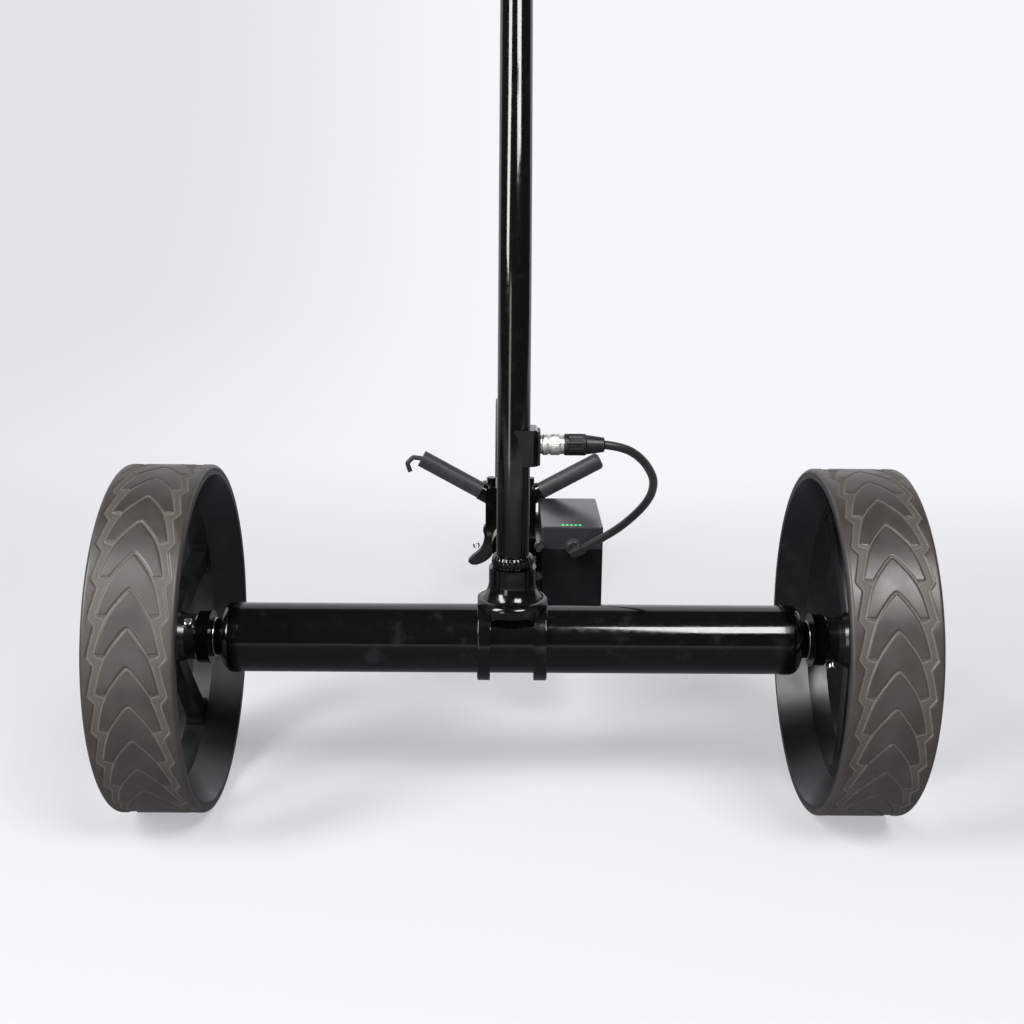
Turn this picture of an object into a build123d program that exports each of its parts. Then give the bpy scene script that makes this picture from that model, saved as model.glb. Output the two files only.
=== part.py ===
from build123d import *

import math
import os

os.makedirs("parts", exist_ok=True)

# Electric golf trolley on two large driven wheels and one small front wheel.
# Millimetres.  +X is to the right of the golfer who walks behind, +Y is forward, +Z is up.
# The origin lies on the ground, midway between the two wheel sides and midway
# between the back of the handle grips and the front of the front tyre.

# ---------------------------------------------------------------- overall sizes
wheel_radius = 150.0          # drive wheel, over the tread
wheel_width = 72.5
wheel_gap = 517.6             # clear distance between the two drive wheels
wheelbase = 650.0             # drive axle to front axle
front_radius = 125.0
front_width = 35.0
handle_reach = 290.0          # crossbar behind the drive axle
grip_radius = 16.0

axle_z = wheel_radius
axle_y = (handle_reach + grip_radius - wheelbase - front_radius) / 2
front_y = axle_y + wheelbase

# ------------------------------------------------------------------- clearances
running_gap = 0.04            # radial, a shaft that turns in a bore
sliding_gap = 0.15            # radial, a button or pin that slides
side_gap = 0.4                # between flat faces that pass each other
tube_slip = 0.1               # radial, housings pushed into the axle tube

# ------------------------------------------------------------------- axle group
axle_tube_radius = 30.0
axle_tube_wall = 3.0
axle_tube_half = 234.6
cap_length = 15.2
cap_overhang = 0.6            # end cap over the tube's outside
cap_round = 9.0
cap_plug = 8.6
cap_sleeve_gap = 1.5          # radial, end cap round the output sleeve
motor_inner_end = 62.0
motor_wall = 2.6
bulkhead_x = 142.0
bulkhead = 5.0
bearing_outer = 16.0
bearing_bore = 7.5
bearing_width = 9.0
rotor_radius = 19.0
rotor_length = 48.0
rotor_shaft = 3.0
pinion_radius = 6.0
carrier_radius = 19.0
controller_length = 96.0
controller_height = 30.0
controller_fit = 0.4          # radial, its edges in the axle tube
controller_round = 1.5

# --------------------------------------------------------- cast bracket and tubes
band_wall = 6.5               # bracket band round the axle tube
bracket_half = 30.0
band_round = 1.5
window_half = 19.0
window_low_edge = 2.0         # window's top edge below the top of the axle tube
window_corner = 8.0
neck_wall = 6.3               # bracket neck round the upright
neck_top = axle_z + 66.0
collar_top = axle_z + 77.5
neck_bend_top = axle_z + 53.0  # where the neck starts to widen
neck_bend = 18.5              # hollow radius from the neck to the body
body_radius = 33.0            # bracket body over the band
body_round = 6.0
frame_tube_radius = 14.0
frame_tube_wall = 2.0
foot_wall = 10.0               # bracket between the axle tube and the upright's foot
bow_start = axle_z + 81.0
bow_radius = 1000.0
bow_angle = 21.7
collar_wall = 4.4
lower_tube_z = axle_z + 38.0
lower_tube_tuck = 8.0         # its back end behind the axle tube's front line
lower_socket_wall = 4.5
lower_socket_length = 72.0
lower_bend_start = 300.0
lower_bend_radius = 300.0
lower_bend_angle = 15.0

# ------------------------------------------------------------ fork and front axle
fork_clear = 3.5              # each side of the front tyre
fork_leg = 6.0
fork_tyre_gap = 16.0          # behind the front tyre
fork_crown_length = 30.0
fork_crown_height = 34.0
front_axle_radius = 4.0
front_bearing_outer = 11.0
front_bearing_width = 7.0
front_hub_radius = 16.0

# ------------------------------------------------------------------ wheel details
tyre_round = 3.0
rim_lip_radius = 141.5
rim_well_radius = 127.0
rim_wall = 3.5
well_start = 28.0
well_end = 46.0
spoke_count = 5
spoke_thick = 16.0
spoke_lean = 7.0              # how far the spokes lean outwards on their way in
spoke_foot_half = 13.0
spoke_foot_depth = 6.5
left_spoke_angle = 17.0
right_spoke_angle = 50.0
hub_radius = 20.0
hub_root_radius = 24.5
hub_start = 14.2
hub_end = 62.0
hub_nose = 66.0
stub_radius = 8.0
stub_end = 57.0
sleeve_radius = 16.0
sleeve_start = 240.0
collar_start = 1.7
flange_radius = 22.5
pin_angles = {"left": 129.0, "right": -123.0}
pin_offset = 19.2             # outboard of the wheel's inner face
pin_travel = 5.0
pin_stem = 2.0
pin_head = 3.7
pin_head_height = 5.0
pin_groove = 1.0

# ------------------------------------------------------------------------ battery
battery_left = 28.3
battery_width = 59.4
battery_back = 129.0
battery_length = 111.0
battery_top = lower_tube_z + 27.0
battery_height = 126.0
battery_round = 3.0
lid_height = 22.0
battery_wall = 2.5
light_count = 5
light_pitch = 4.1
light_first = 49.3
light_radius = 1.3
light_inset = 7.0
cell_radius = 9.1
cell_height = 65.0
tray_plate = 3.0
tray_side_height = 112.0
tray_lip = 22.0

# ----------------------------------------------------------- cable and its fittings
socket_z = axle_z + 172.3
socket_y = 4.2                # in front of the drive axle
socket_block = (26.0, 31.0)
socket_face = 20.5
socket_flange = 1.8
socket_barrel_radius = 9.4
plug_nose_radius = 7.5
plug_shell_radius = 9.1
plug_shell_end = 42.5
plug_collar_radius = 9.3
plug_collar_end = 58.0
boot_end = 76.6
cable_radius = 3.75

# ------------------------------------------------------------------ lower bag rest
rest_y = 250.0                # in front of the drive axle
rest_length = 28.0
rest_half = 26.0              # half width of the bag rest block
rest_top = lower_tube_z + 38.0
rest_bottom = lower_tube_z - 17.0
arm_root = (20.0, lower_tube_z + 26.0)
arm_tip = (93.0, lower_tube_z + 66.2)
arm_core_radius = 6.0
arm_sleeve_radius = 8.7
arm_bare = 13.0
foot_plate = (52.0, 70.0, 6.0)
foot_top = lower_tube_z + 26.0

# ------------------------------------------------------------------------ fold joint
fold_reach = 214.5            # pivot beyond the end of the bow
fold_pin_radius = 5.0
ear_side_gap = 0.5            # between each ear and the knuckle
ear_thick = 6.5
ear_radius = 16.0
fold_socket_wall = 4.0
fold_socket_start = 100.0
fold_socket_floor = 44.0
fold_floor = 4.0
knuckle_half = 13.0
knuckle_radius = 15.0
knuckle_web = 13.0
knuckle_socket_start = 42.0
knuckle_socket_end = 100.0
handle_tube_start = 48.0
stop_distance = 27.0
stop_angle = 158.0
stop_bolt_radius = 4.0
stop_lug_radius = 9.0
handle_rise_angle = 125.0     # first straight of the handle tube, from forward
handle_rise = 125.0           # from the pivot to the bend
handle_bend_radius = 220.0

# --------------------------------------------------------------------------- handle
crossbar_radius = 11.0
crossbar_half = 146.0
grip_inner = 47.0
grip_end = 4.0
console_length = 100.0
console_width = 84.0
console_back = 14.0           # behind the crossbar centre
console_low = 20.0
console_high = 22.0
console_wall = 3.0
console_round = 8.0
dial_radius = 20.0
dial_height = 15.0
dial_shaft = 3.0
dial_ahead = 62.0             # in front of the crossbar
button_radius = 7.0
button_ahead = 26.0
button_side = 22.0
boss_radius = 8.0
boss_height = 6.0
boss_side = 26.0
boss_hole = 4.2
boss_depth = 14.0


upright_foot = axle_z + axle_tube_radius + foot_wall
lower_tube_back = axle_tube_radius - lower_tube_tuck
cap_radius = axle_tube_radius + cap_overhang
cap_bore = sleeve_radius + cap_sleeve_gap
band_radius = axle_tube_radius + band_wall
window_top = axle_z + axle_tube_radius - window_low_edge
neck_radius = frame_tube_radius + neck_wall
collar_radius = frame_tube_radius + collar_wall
lower_socket_radius = frame_tube_radius + lower_socket_wall
fold_socket_radius = frame_tube_radius + fold_socket_wall
ear_gap_half = knuckle_half + ear_side_gap


def across(x=0.0, y=axle_y, z=axle_z):
    """Plane whose normal is +X, with +Y to its right and +Z up."""
    return Plane(origin=(x, y, z), x_dir=(0, 1, 0), z_dir=(1, 0, 0))


def facing_back(y, x=0.0, z=0.0):
    """Plane whose normal is -Y, with +X to its right and +Z up."""
    return Plane(origin=(x, y, z), x_dir=(1, 0, 0), z_dir=(0, -1, 0))


def wheel_section(side, y=axle_y, z=axle_z, gap=wheel_gap):
    """Radial half-plane of a wheel: right is outboard from its inner face, up is the radius."""
    return Plane(origin=(side * gap / 2, y, z), x_dir=(side, 0, 0), z_dir=(0, -side, 0))


def radial_section(side, degrees, y=axle_y, z=axle_z, gap=wheel_gap):
    """Like wheel_section, turned about the axle so that up points at this angle from +Y."""
    angle = math.radians(degrees)
    up = Vector(0, math.cos(angle), math.sin(angle))
    out = Vector(side, 0, 0)
    return Plane(origin=(side * gap / 2, y, z), x_dir=out, z_dir=out.cross(up))


def side_view(origin, up_degrees):
    """Plane whose normal is +X, with its up direction at this angle from +Y."""
    angle = math.radians(up_degrees)
    return Plane(origin=origin, x_dir=(0, math.sin(angle), -math.cos(angle)), z_dir=(1, 0, 0))


axle_axis = Axis((0, axle_y, axle_z), (1, 0, 0))
front_axis = Axis((0, front_y, front_radius), (1, 0, 0))
sides = (("left", -1), ("right", 1))

# ------------------------------------------------------------- centre lines of tubes
bow_end = (
    axle_y + bow_radius * (1 - math.cos(math.radians(bow_angle))),
    bow_start + bow_radius * math.sin(math.radians(bow_angle)),
)
upright_lean = 90.0 - bow_angle
pivot_y = bow_end[0] + fold_reach * math.cos(math.radians(upright_lean))
pivot_z = bow_end[1] + fold_reach * math.sin(math.radians(upright_lean))
pivot = (0, pivot_y, pivot_z)
bend_turn = math.radians(180.0 - handle_rise_angle)
handle_z = (
    pivot_z
    + handle_rise * math.sin(math.radians(handle_rise_angle))
    + handle_bend_radius * (1 - math.cos(bend_turn))
)
crossbar_y = axle_y - handle_reach


def upright_height_to_y(height):
    """Forward position of the upright's centre line at a height on the bow."""
    return axle_y + bow_radius - math.sqrt(bow_radius**2 - (height - bow_start) ** 2)


upright_top = fold_reach - fold_socket_floor - fold_floor
with BuildLine(across(y=axle_y, z=0.0)) as upright_path:
    upright_straight = Line((0, upright_foot), (0, bow_start))
    upright_bow = JernArc((0, bow_start), (0, 1), bow_radius, -bow_angle)
    Line(upright_bow @ 1, upright_bow @ 1 + (upright_bow % 1) * upright_top)

with BuildLine(across(y=axle_y, z=0.0)) as lower_path:
    lower_run = Line((lower_tube_back, lower_tube_z), (lower_bend_start, lower_tube_z))
    lower_bow = JernArc(lower_run @ 1, (1, 0), lower_bend_radius, -lower_bend_angle)

lower_bend_end = lower_path.line @ 1
lower_slope = math.radians(lower_bend_angle)
crown_front = front_y - front_radius - fork_tyre_gap
crown_back = crown_front - fork_crown_length
lower_tube_front = crown_front - 4.0
lower_drop_length = (lower_tube_front - lower_bend_end.Y) / math.cos(lower_slope)
lower_tube_end = (
    lower_tube_front,
    lower_bend_end.Z - lower_drop_length * math.sin(lower_slope),
)

with BuildLine(across(y=0.0, z=0.0)) as lower_tube_path:
    level_start = (axle_y + lower_tube_back, lower_tube_z)
    level_end = (axle_y + lower_bend_start, lower_tube_z)
    level_run = Line(level_start, level_end)
    JernArc(level_end, (1, 0), lower_bend_radius, -lower_bend_angle)
    Line((lower_bend_end.Y, lower_bend_end.Z), lower_tube_end)

rise = math.radians(handle_rise_angle)
rise_start = (
    pivot_y + handle_tube_start * math.cos(rise),
    pivot_z + handle_tube_start * math.sin(rise),
)
rise_end = (
    pivot_y + handle_rise * math.cos(rise),
    pivot_z + handle_rise * math.sin(rise),
)
bend_back_y = rise_end[0] - handle_bend_radius * math.sin(bend_turn)
with BuildLine(across(y=0.0, z=0.0)) as handle_path:
    Line(rise_start, rise_end)
    JernArc(rise_end, (math.cos(rise), math.sin(rise)), handle_bend_radius, math.degrees(bend_turn))
    Line((bend_back_y, handle_z), (crossbar_y + crossbar_radius / 2, handle_z))


def cylinder_along_x(x0, x1, radius, y=axle_y, z=axle_z, mode=Mode.ADD):
    """Solid cylinder parallel to X between two X values, in the open part."""
    with Locations(across((x0 + x1) / 2, y, z)):
        Cylinder(radius, abs(x1 - x0), mode=mode)


def cylinder_along_y(y0, y1, radius, x, z, mode=Mode.ADD):
    """Solid cylinder parallel to Y between two Y values, in the open part."""
    with Locations(facing_back((y0 + y1) / 2, x, z)):
        Cylinder(radius, abs(y1 - y0), mode=mode)


def block(x0, x1, y0, y1, z0, z1, mode=Mode.ADD):
    """Solid box between the given limits, in the open part."""
    centre = ((x0 + x1) / 2, (y0 + y1) / 2, (z0 + z1) / 2)
    with Locations(centre):
        Box(x1 - x0, y1 - y0, z1 - z0, mode=mode)


def ring_section(points, plane, axis, mode=Mode.ADD):
    """Solid of revolution from the corners of its section, in the open part."""
    with BuildSketch(plane) as section:
        with BuildLine():
            Polyline(*points, close=True)
        make_face()
    revolve(section.sketch, axis=axis, mode=mode)


# ---------------------------------------------------------------- axle tube and caps
tube_inner = axle_tube_radius - axle_tube_wall
with BuildPart() as axle_tube:
    cylinder_along_x(-axle_tube_half, axle_tube_half, axle_tube_radius)
    cylinder_along_x(-axle_tube_half, axle_tube_half, tube_inner, mode=Mode.SUBTRACT)

cap_face = axle_tube_half + cap_length
parts_made = {"axle_tube": axle_tube}
for side_name, side in sides:
    with BuildPart() as end_cap:
        with BuildSketch(Plane(origin=(0, axle_y, axle_z), x_dir=(side, 0, 0), z_dir=(0, -side, 0))):
            with BuildLine():
                Polyline(
                    (axle_tube_half - cap_plug, cap_bore),
                    (axle_tube_half - cap_plug, tube_inner),
                    (axle_tube_half, tube_inner),
                    (axle_tube_half, cap_radius),
                    (cap_face - cap_round, cap_radius),
                )
                ThreePointArc(
                    (cap_face - cap_round, cap_radius),
                    (cap_face - cap_round * 0.2929, cap_radius - cap_round * 0.2929),
                    (cap_face, cap_radius - cap_round),
                )
                Polyline(
                    (cap_face, cap_radius - cap_round),
                    (cap_face, cap_bore),
                    (axle_tube_half - cap_plug, cap_bore),
                )
            make_face()
        revolve(axis=axle_axis)
    parts_made[side_name + "_end_cap"] = end_cap

# ------------------------------------------------------------------- drive units
housing_radius = tube_inner - tube_slip
housing_end = axle_tube_half - cap_plug
seat_end = housing_end - motor_wall
seat_start = seat_end - bearing_width
gear_start = bulkhead_x + bulkhead
shaft_end = gear_start + 13.0
carrier_start = shaft_end + 6.0
for side_name, side in sides:
    with BuildPart() as housing:
        cylinder_along_x(side * motor_inner_end, side * housing_end, housing_radius)
        inside = housing_radius - motor_wall
        rotor_room = (side * (motor_inner_end + bulkhead), side * bulkhead_x)
        cylinder_along_x(rotor_room[0], rotor_room[1], inside, mode=Mode.SUBTRACT)
        gear_room = (side * gear_start, side * seat_start)
        cylinder_along_x(gear_room[0], gear_room[1], inside, mode=Mode.SUBTRACT)
        seat = (side * seat_start, side * seat_end)
        cylinder_along_x(seat[0], seat[1], bearing_outer, mode=Mode.SUBTRACT)
        front_hole = (side * seat_end, side * housing_end)
        cylinder_along_x(front_hole[0], front_hole[1], bearing_outer - 3.0, mode=Mode.SUBTRACT)
        shaft_hole = (side * motor_inner_end, side * gear_start)
        cylinder_along_x(shaft_hole[0], shaft_hole[1], rotor_shaft + running_gap, mode=Mode.SUBTRACT)
    parts_made[side_name + "_motor_housing"] = housing

    rotor_middle = (motor_inner_end + bulkhead + bulkhead_x) / 2 + 4.0
    with BuildPart() as armature:
        cylinder_along_x(side * (motor_inner_end + 0.6), side * shaft_end, rotor_shaft)
        rotor = (side * (rotor_middle - rotor_length / 2), side * (rotor_middle + rotor_length / 2))
        cylinder_along_x(rotor[0], rotor[1], rotor_radius)
        commutator = (side * (motor_inner_end + bulkhead + side_gap), rotor[0])
        cylinder_along_x(commutator[0], commutator[1], rotor_radius / 2)
        cylinder_along_x(side * (gear_start + side_gap), side * shaft_end, pinion_radius)
    parts_made[side_name + "_armature"] = armature

with BuildPart() as output_bearings:
    for side_name, side in sides:
        cylinder_along_x(side * seat_start, side * seat_end, bearing_outer)
        cylinder_along_x(side * seat_start, side * seat_end, bearing_bore, mode=Mode.SUBTRACT)
parts_made["output_bearings"] = output_bearings

with BuildPart() as motor_controller:
    controller_reach = tube_inner - controller_fit
    controller_width = 2 * math.sqrt(controller_reach**2 - (controller_height / 2) ** 2)
    with Locations((0, axle_y, axle_z)):
        Box(controller_length, controller_width, controller_height)
    fillet(motor_controller.edges().filter_by(Axis.X), controller_round)
parts_made["motor_controller"] = motor_controller

# ------------------------------------------------------------------ cast bracket
upright_axis = Axis((0, axle_y, 0), (0, 0, 1))
body_edge = body_radius - body_round


def neck_hollow(radius):
    """Height of the hollow between neck and body at a distance from the upright's axis."""
    return neck_bend_top - math.sqrt(neck_bend**2 - (neck_radius + neck_bend - radius) ** 2)


boss_front = axle_y + lower_socket_length
with BuildPart() as axle_bracket:
    cylinder_along_x(-bracket_half, bracket_half, band_radius)
    fillet(axle_bracket.edges().filter_by(GeomType.CIRCLE), band_round)
    with BuildSketch(Plane(origin=(0, axle_y, 0), x_dir=(1, 0, 0), z_dir=(0, -1, 0))):
        with BuildLine():
            Polyline((0, axle_z), (body_radius, axle_z), (body_radius, neck_hollow(body_edge) - body_round))
            ThreePointArc(
                (body_radius, neck_hollow(body_edge) - body_round),
                (body_edge + body_round * 0.74, neck_hollow(body_edge) - body_round * 0.28),
                (body_edge, neck_hollow(body_edge)),
            )
            hollow_middle = neck_radius + (body_edge - neck_radius) * 0.3
            ThreePointArc(
                (body_edge, neck_hollow(body_edge)),
                (hollow_middle, neck_hollow(hollow_middle)),
                (neck_radius, neck_bend_top),
            )
            Polyline((neck_radius, neck_bend_top), (neck_radius, neck_top), (0, neck_top), (0, axle_z))
        make_face()
    revolve(axis=upright_axis)
    for side_name, side in sides:
        beyond = sorted((side * bracket_half, side * (body_radius + 5.0)))
        block(*beyond, axle_y - 60.0, axle_y + 60.0, axle_z - 60.0, neck_top + 5.0, mode=Mode.SUBTRACT)
    cylinder_along_y(axle_y + 10.0, boss_front, lower_socket_radius, 0, lower_tube_z)
    cylinder_along_x(-bracket_half - 1, bracket_half + 1, axle_tube_radius, mode=Mode.SUBTRACT)
    with BuildSketch(Plane(origin=(0, axle_y, upright_foot))):
        Circle(frame_tube_radius)
    extrude(amount=neck_top - upright_foot, mode=Mode.SUBTRACT)
    tube_back = axle_y + lower_tube_back
    cylinder_along_y(tube_back, boss_front, frame_tube_radius, 0, lower_tube_z, mode=Mode.SUBTRACT)
    block(-window_half, window_half, axle_y - 60, axle_y + 60, 90, axle_z, mode=Mode.SUBTRACT)
    with BuildSketch(facing_back(axle_y)):
        with BuildLine():
            FilletPolyline(
                (-window_half, axle_z - 10),
                (-window_half, window_top),
                (window_half, window_top),
                (window_half, axle_z - 10),
                radius=window_corner,
            )
            Line((window_half, axle_z - 10), (-window_half, axle_z - 10))
        make_face()
    extrude(amount=60, mode=Mode.SUBTRACT)
parts_made["axle_bracket"] = axle_bracket

with BuildPart() as upright_collar:
    with BuildSketch(Plane(origin=(0, axle_y, neck_top))):
        Circle(collar_radius)
        Circle(frame_tube_radius, mode=Mode.SUBTRACT)
    extrude(amount=collar_top - neck_top)
    top_rim = upright_collar.edges().filter_by(GeomType.CIRCLE).group_by(Axis.Z)[-1]
    chamfer(top_rim.sort_by(SortBy.LENGTH)[-1], 1.0)
parts_made["upright_collar"] = upright_collar

# the upright's fixing screw sits on the front of the neck, the other one crosses the boss
screw_radius = 3.0
screw_head = 5.0
neck_screw_head = 4.4
neck_screw_z = (lower_tube_z + lower_socket_radius + neck_top) / 2 + 0.3
cross_bolt_y = boss_front - 12.0
cross_face = lower_socket_radius - 1.5


def frame_holes():
    """Holes of the two fixing screws, cut in the open part."""
    cylinder_along_y(axle_y, axle_y + 30.0, screw_radius, 0, neck_screw_z, mode=Mode.SUBTRACT)
    cylinder_along_x(-30.0, 30.0, screw_radius, cross_bolt_y, lower_tube_z, mode=Mode.SUBTRACT)


with BuildPart() as frame_screws:
    screw_tip = axle_y + frame_tube_radius - frame_tube_wall - 3.0
    neck_face = axle_y + neck_radius
    cylinder_along_y(screw_tip, neck_face + 0.2, screw_radius, 0, neck_screw_z)
    cylinder_along_y(neck_face, neck_face + 3.2, neck_screw_head, 0, neck_screw_z)
    cylinder_along_x(-cross_face, cross_face, screw_radius, cross_bolt_y, lower_tube_z)
    for side_name, side in sides:
        cross_head = (side * cross_face, side * (cross_face + 3.0))
        cylinder_along_x(cross_head[0], cross_head[1], screw_head, cross_bolt_y, lower_tube_z)
parts_made["frame_screws"] = frame_screws

with axle_bracket:
    frame_holes()
    for side_name, side in sides:
        face = (side * cross_face, side * (cross_face + 6.0))
        cylinder_along_x(face[0], face[1], screw_head + 0.5, cross_bolt_y, lower_tube_z, mode=Mode.SUBTRACT)

# ------------------------------------------------------------------------- tubes
with BuildPart() as upright_tube:
    with BuildSketch(Plane(upright_path.line @ 0, x_dir=(1, 0, 0), z_dir=(0, 0, 1))):
        Circle(frame_tube_radius)
        Circle(frame_tube_radius - frame_tube_wall, mode=Mode.SUBTRACT)
    sweep(path=upright_path.line)
    frame_holes()
parts_made["upright_tube"] = upright_tube

lower_bore = Plane(lower_tube_path.line @ 0, x_dir=(1, 0, 0), z_dir=(0, 1, 0))
with BuildPart() as lower_tube:
    with BuildSketch(lower_bore):
        Circle(frame_tube_radius)
        Circle(frame_tube_radius - frame_tube_wall, mode=Mode.SUBTRACT)
    sweep(path=lower_tube_path.line)
    frame_holes()
parts_made["lower_tube"] = lower_tube

# ------------------------------------------------------------------- front fork
leg_inner = front_width / 2 + fork_clear
leg_outer = leg_inner + fork_leg
crown_z = lower_tube_end[1]
crown_low = crown_z - fork_crown_height / 2
crown_high = crown_z + fork_crown_height / 2
with BuildPart() as front_fork:
    block(-leg_outer, leg_outer, crown_back, crown_front, crown_low, crown_high)
    fillet(front_fork.edges().filter_by(Axis.X), 6.0)
    for side_name, side in sides:
        with BuildSketch(across(side * leg_inner, 0, 0)):
            with BuildLine():
                with Locations((front_y, front_radius)):
                    CenterArc((front_y, front_radius), front_hub_radius - 2.0, 0, 360)
                Polyline(
                    (crown_back + 8.0, crown_low + 3.0),
                    (crown_front, crown_low + 3.0),
                    (crown_front, crown_high - 3.0),
                    (crown_back + 8.0, crown_high - 3.0),
                    close=True,
                )
            make_hull()
        extrude(amount=side * fork_leg)
    with BuildSketch(Plane((0, *lower_tube_end), x_dir=(1, 0, 0), z_dir=lower_tube_path.line % 1)):
        Circle(frame_tube_radius)
    extrude(amount=-60, mode=Mode.SUBTRACT)
    cylinder_along_x(-40, 40, front_axle_radius, front_y, front_radius, mode=Mode.SUBTRACT)
parts_made["front_fork"] = front_fork

with BuildPart() as front_axle:
    axle_head = leg_outer + 7.0
    bearing_face = front_width / 2
    cylinder_along_x(-axle_head, axle_head, front_axle_radius, front_y, front_radius)
    for side_name, side in sides:
        head = (side * leg_outer, side * axle_head)
        cylinder_along_x(head[0], head[1], front_axle_radius + 4.0, front_y, front_radius)
        spacer = (side * leg_inner, side * (bearing_face + running_gap))
        cylinder_along_x(spacer[0], spacer[1], front_axle_radius + 2.5, front_y, front_radius)
parts_made["front_axle"] = front_axle

# ------------------------------------------------------------------- front wheel
front_seat = front_radius - 24.0
front_section = wheel_section(1, front_y, front_radius, -front_width)
with BuildPart() as front_tyre:
    with BuildSketch(front_section):
        with BuildLine():
            Polyline(
                (0, front_seat),
                (front_width, front_seat),
                (front_width, front_radius - 9.0),
            )
            ThreePointArc(
                (front_width, front_radius - 9.0),
                (front_width / 2, front_radius),
                (0, front_radius - 9.0),
            )
            Line((0, front_radius - 9.0), (0, front_seat))
        make_face()
    revolve(axis=front_axis)
parts_made["front_tyre"] = front_tyre

front_bore = front_bearing_outer
with BuildPart() as front_rim:
    ring_section(
        (
            (0, front_seat),
            (0, front_seat - 5.0),
            (front_width / 2 - 5.0, front_seat - 12.0),
            (front_width / 2 + 5.0, front_seat - 12.0),
            (front_width, front_seat - 5.0),
            (front_width, front_seat),
        ),
        front_section,
        front_axis,
    )
    ring_section(
        (
            (0, front_bore),
            (0, front_hub_radius),
            (front_width, front_hub_radius),
            (front_width, front_bore),
            (front_width - front_bearing_width, front_bore),
            (front_width - front_bearing_width, front_bore - 2.5),
            (front_bearing_width, front_bore - 2.5),
            (front_bearing_width, front_bore),
        ),
        front_section,
        front_axis,
    )
    for index in range(5):
        with BuildSketch(radial_section(1, 90.0 + 72.0 * index, front_y, front_radius, -front_width)):
            with BuildLine():
                Polyline(
                    (9.0, front_hub_radius - 1.0),
                    (26.0, front_hub_radius - 1.0),
                    (23.0, front_seat - 9.0),
                    (12.0, front_seat - 9.0),
                    close=True,
                )
            make_face()
        extrude(amount=5.0, both=True)
parts_made["front_rim"] = front_rim

with BuildPart() as front_bearings:
    for side_name, side in sides:
        seat = (side * bearing_face, side * (bearing_face - front_bearing_width))
        cylinder_along_x(seat[0], seat[1], front_bearing_outer, front_y, front_radius)
    bearing_hole = front_axle_radius + running_gap
    cylinder_along_x(-30, 30, bearing_hole, front_y, front_radius, mode=Mode.SUBTRACT)
parts_made["front_bearings"] = front_bearings

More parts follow.
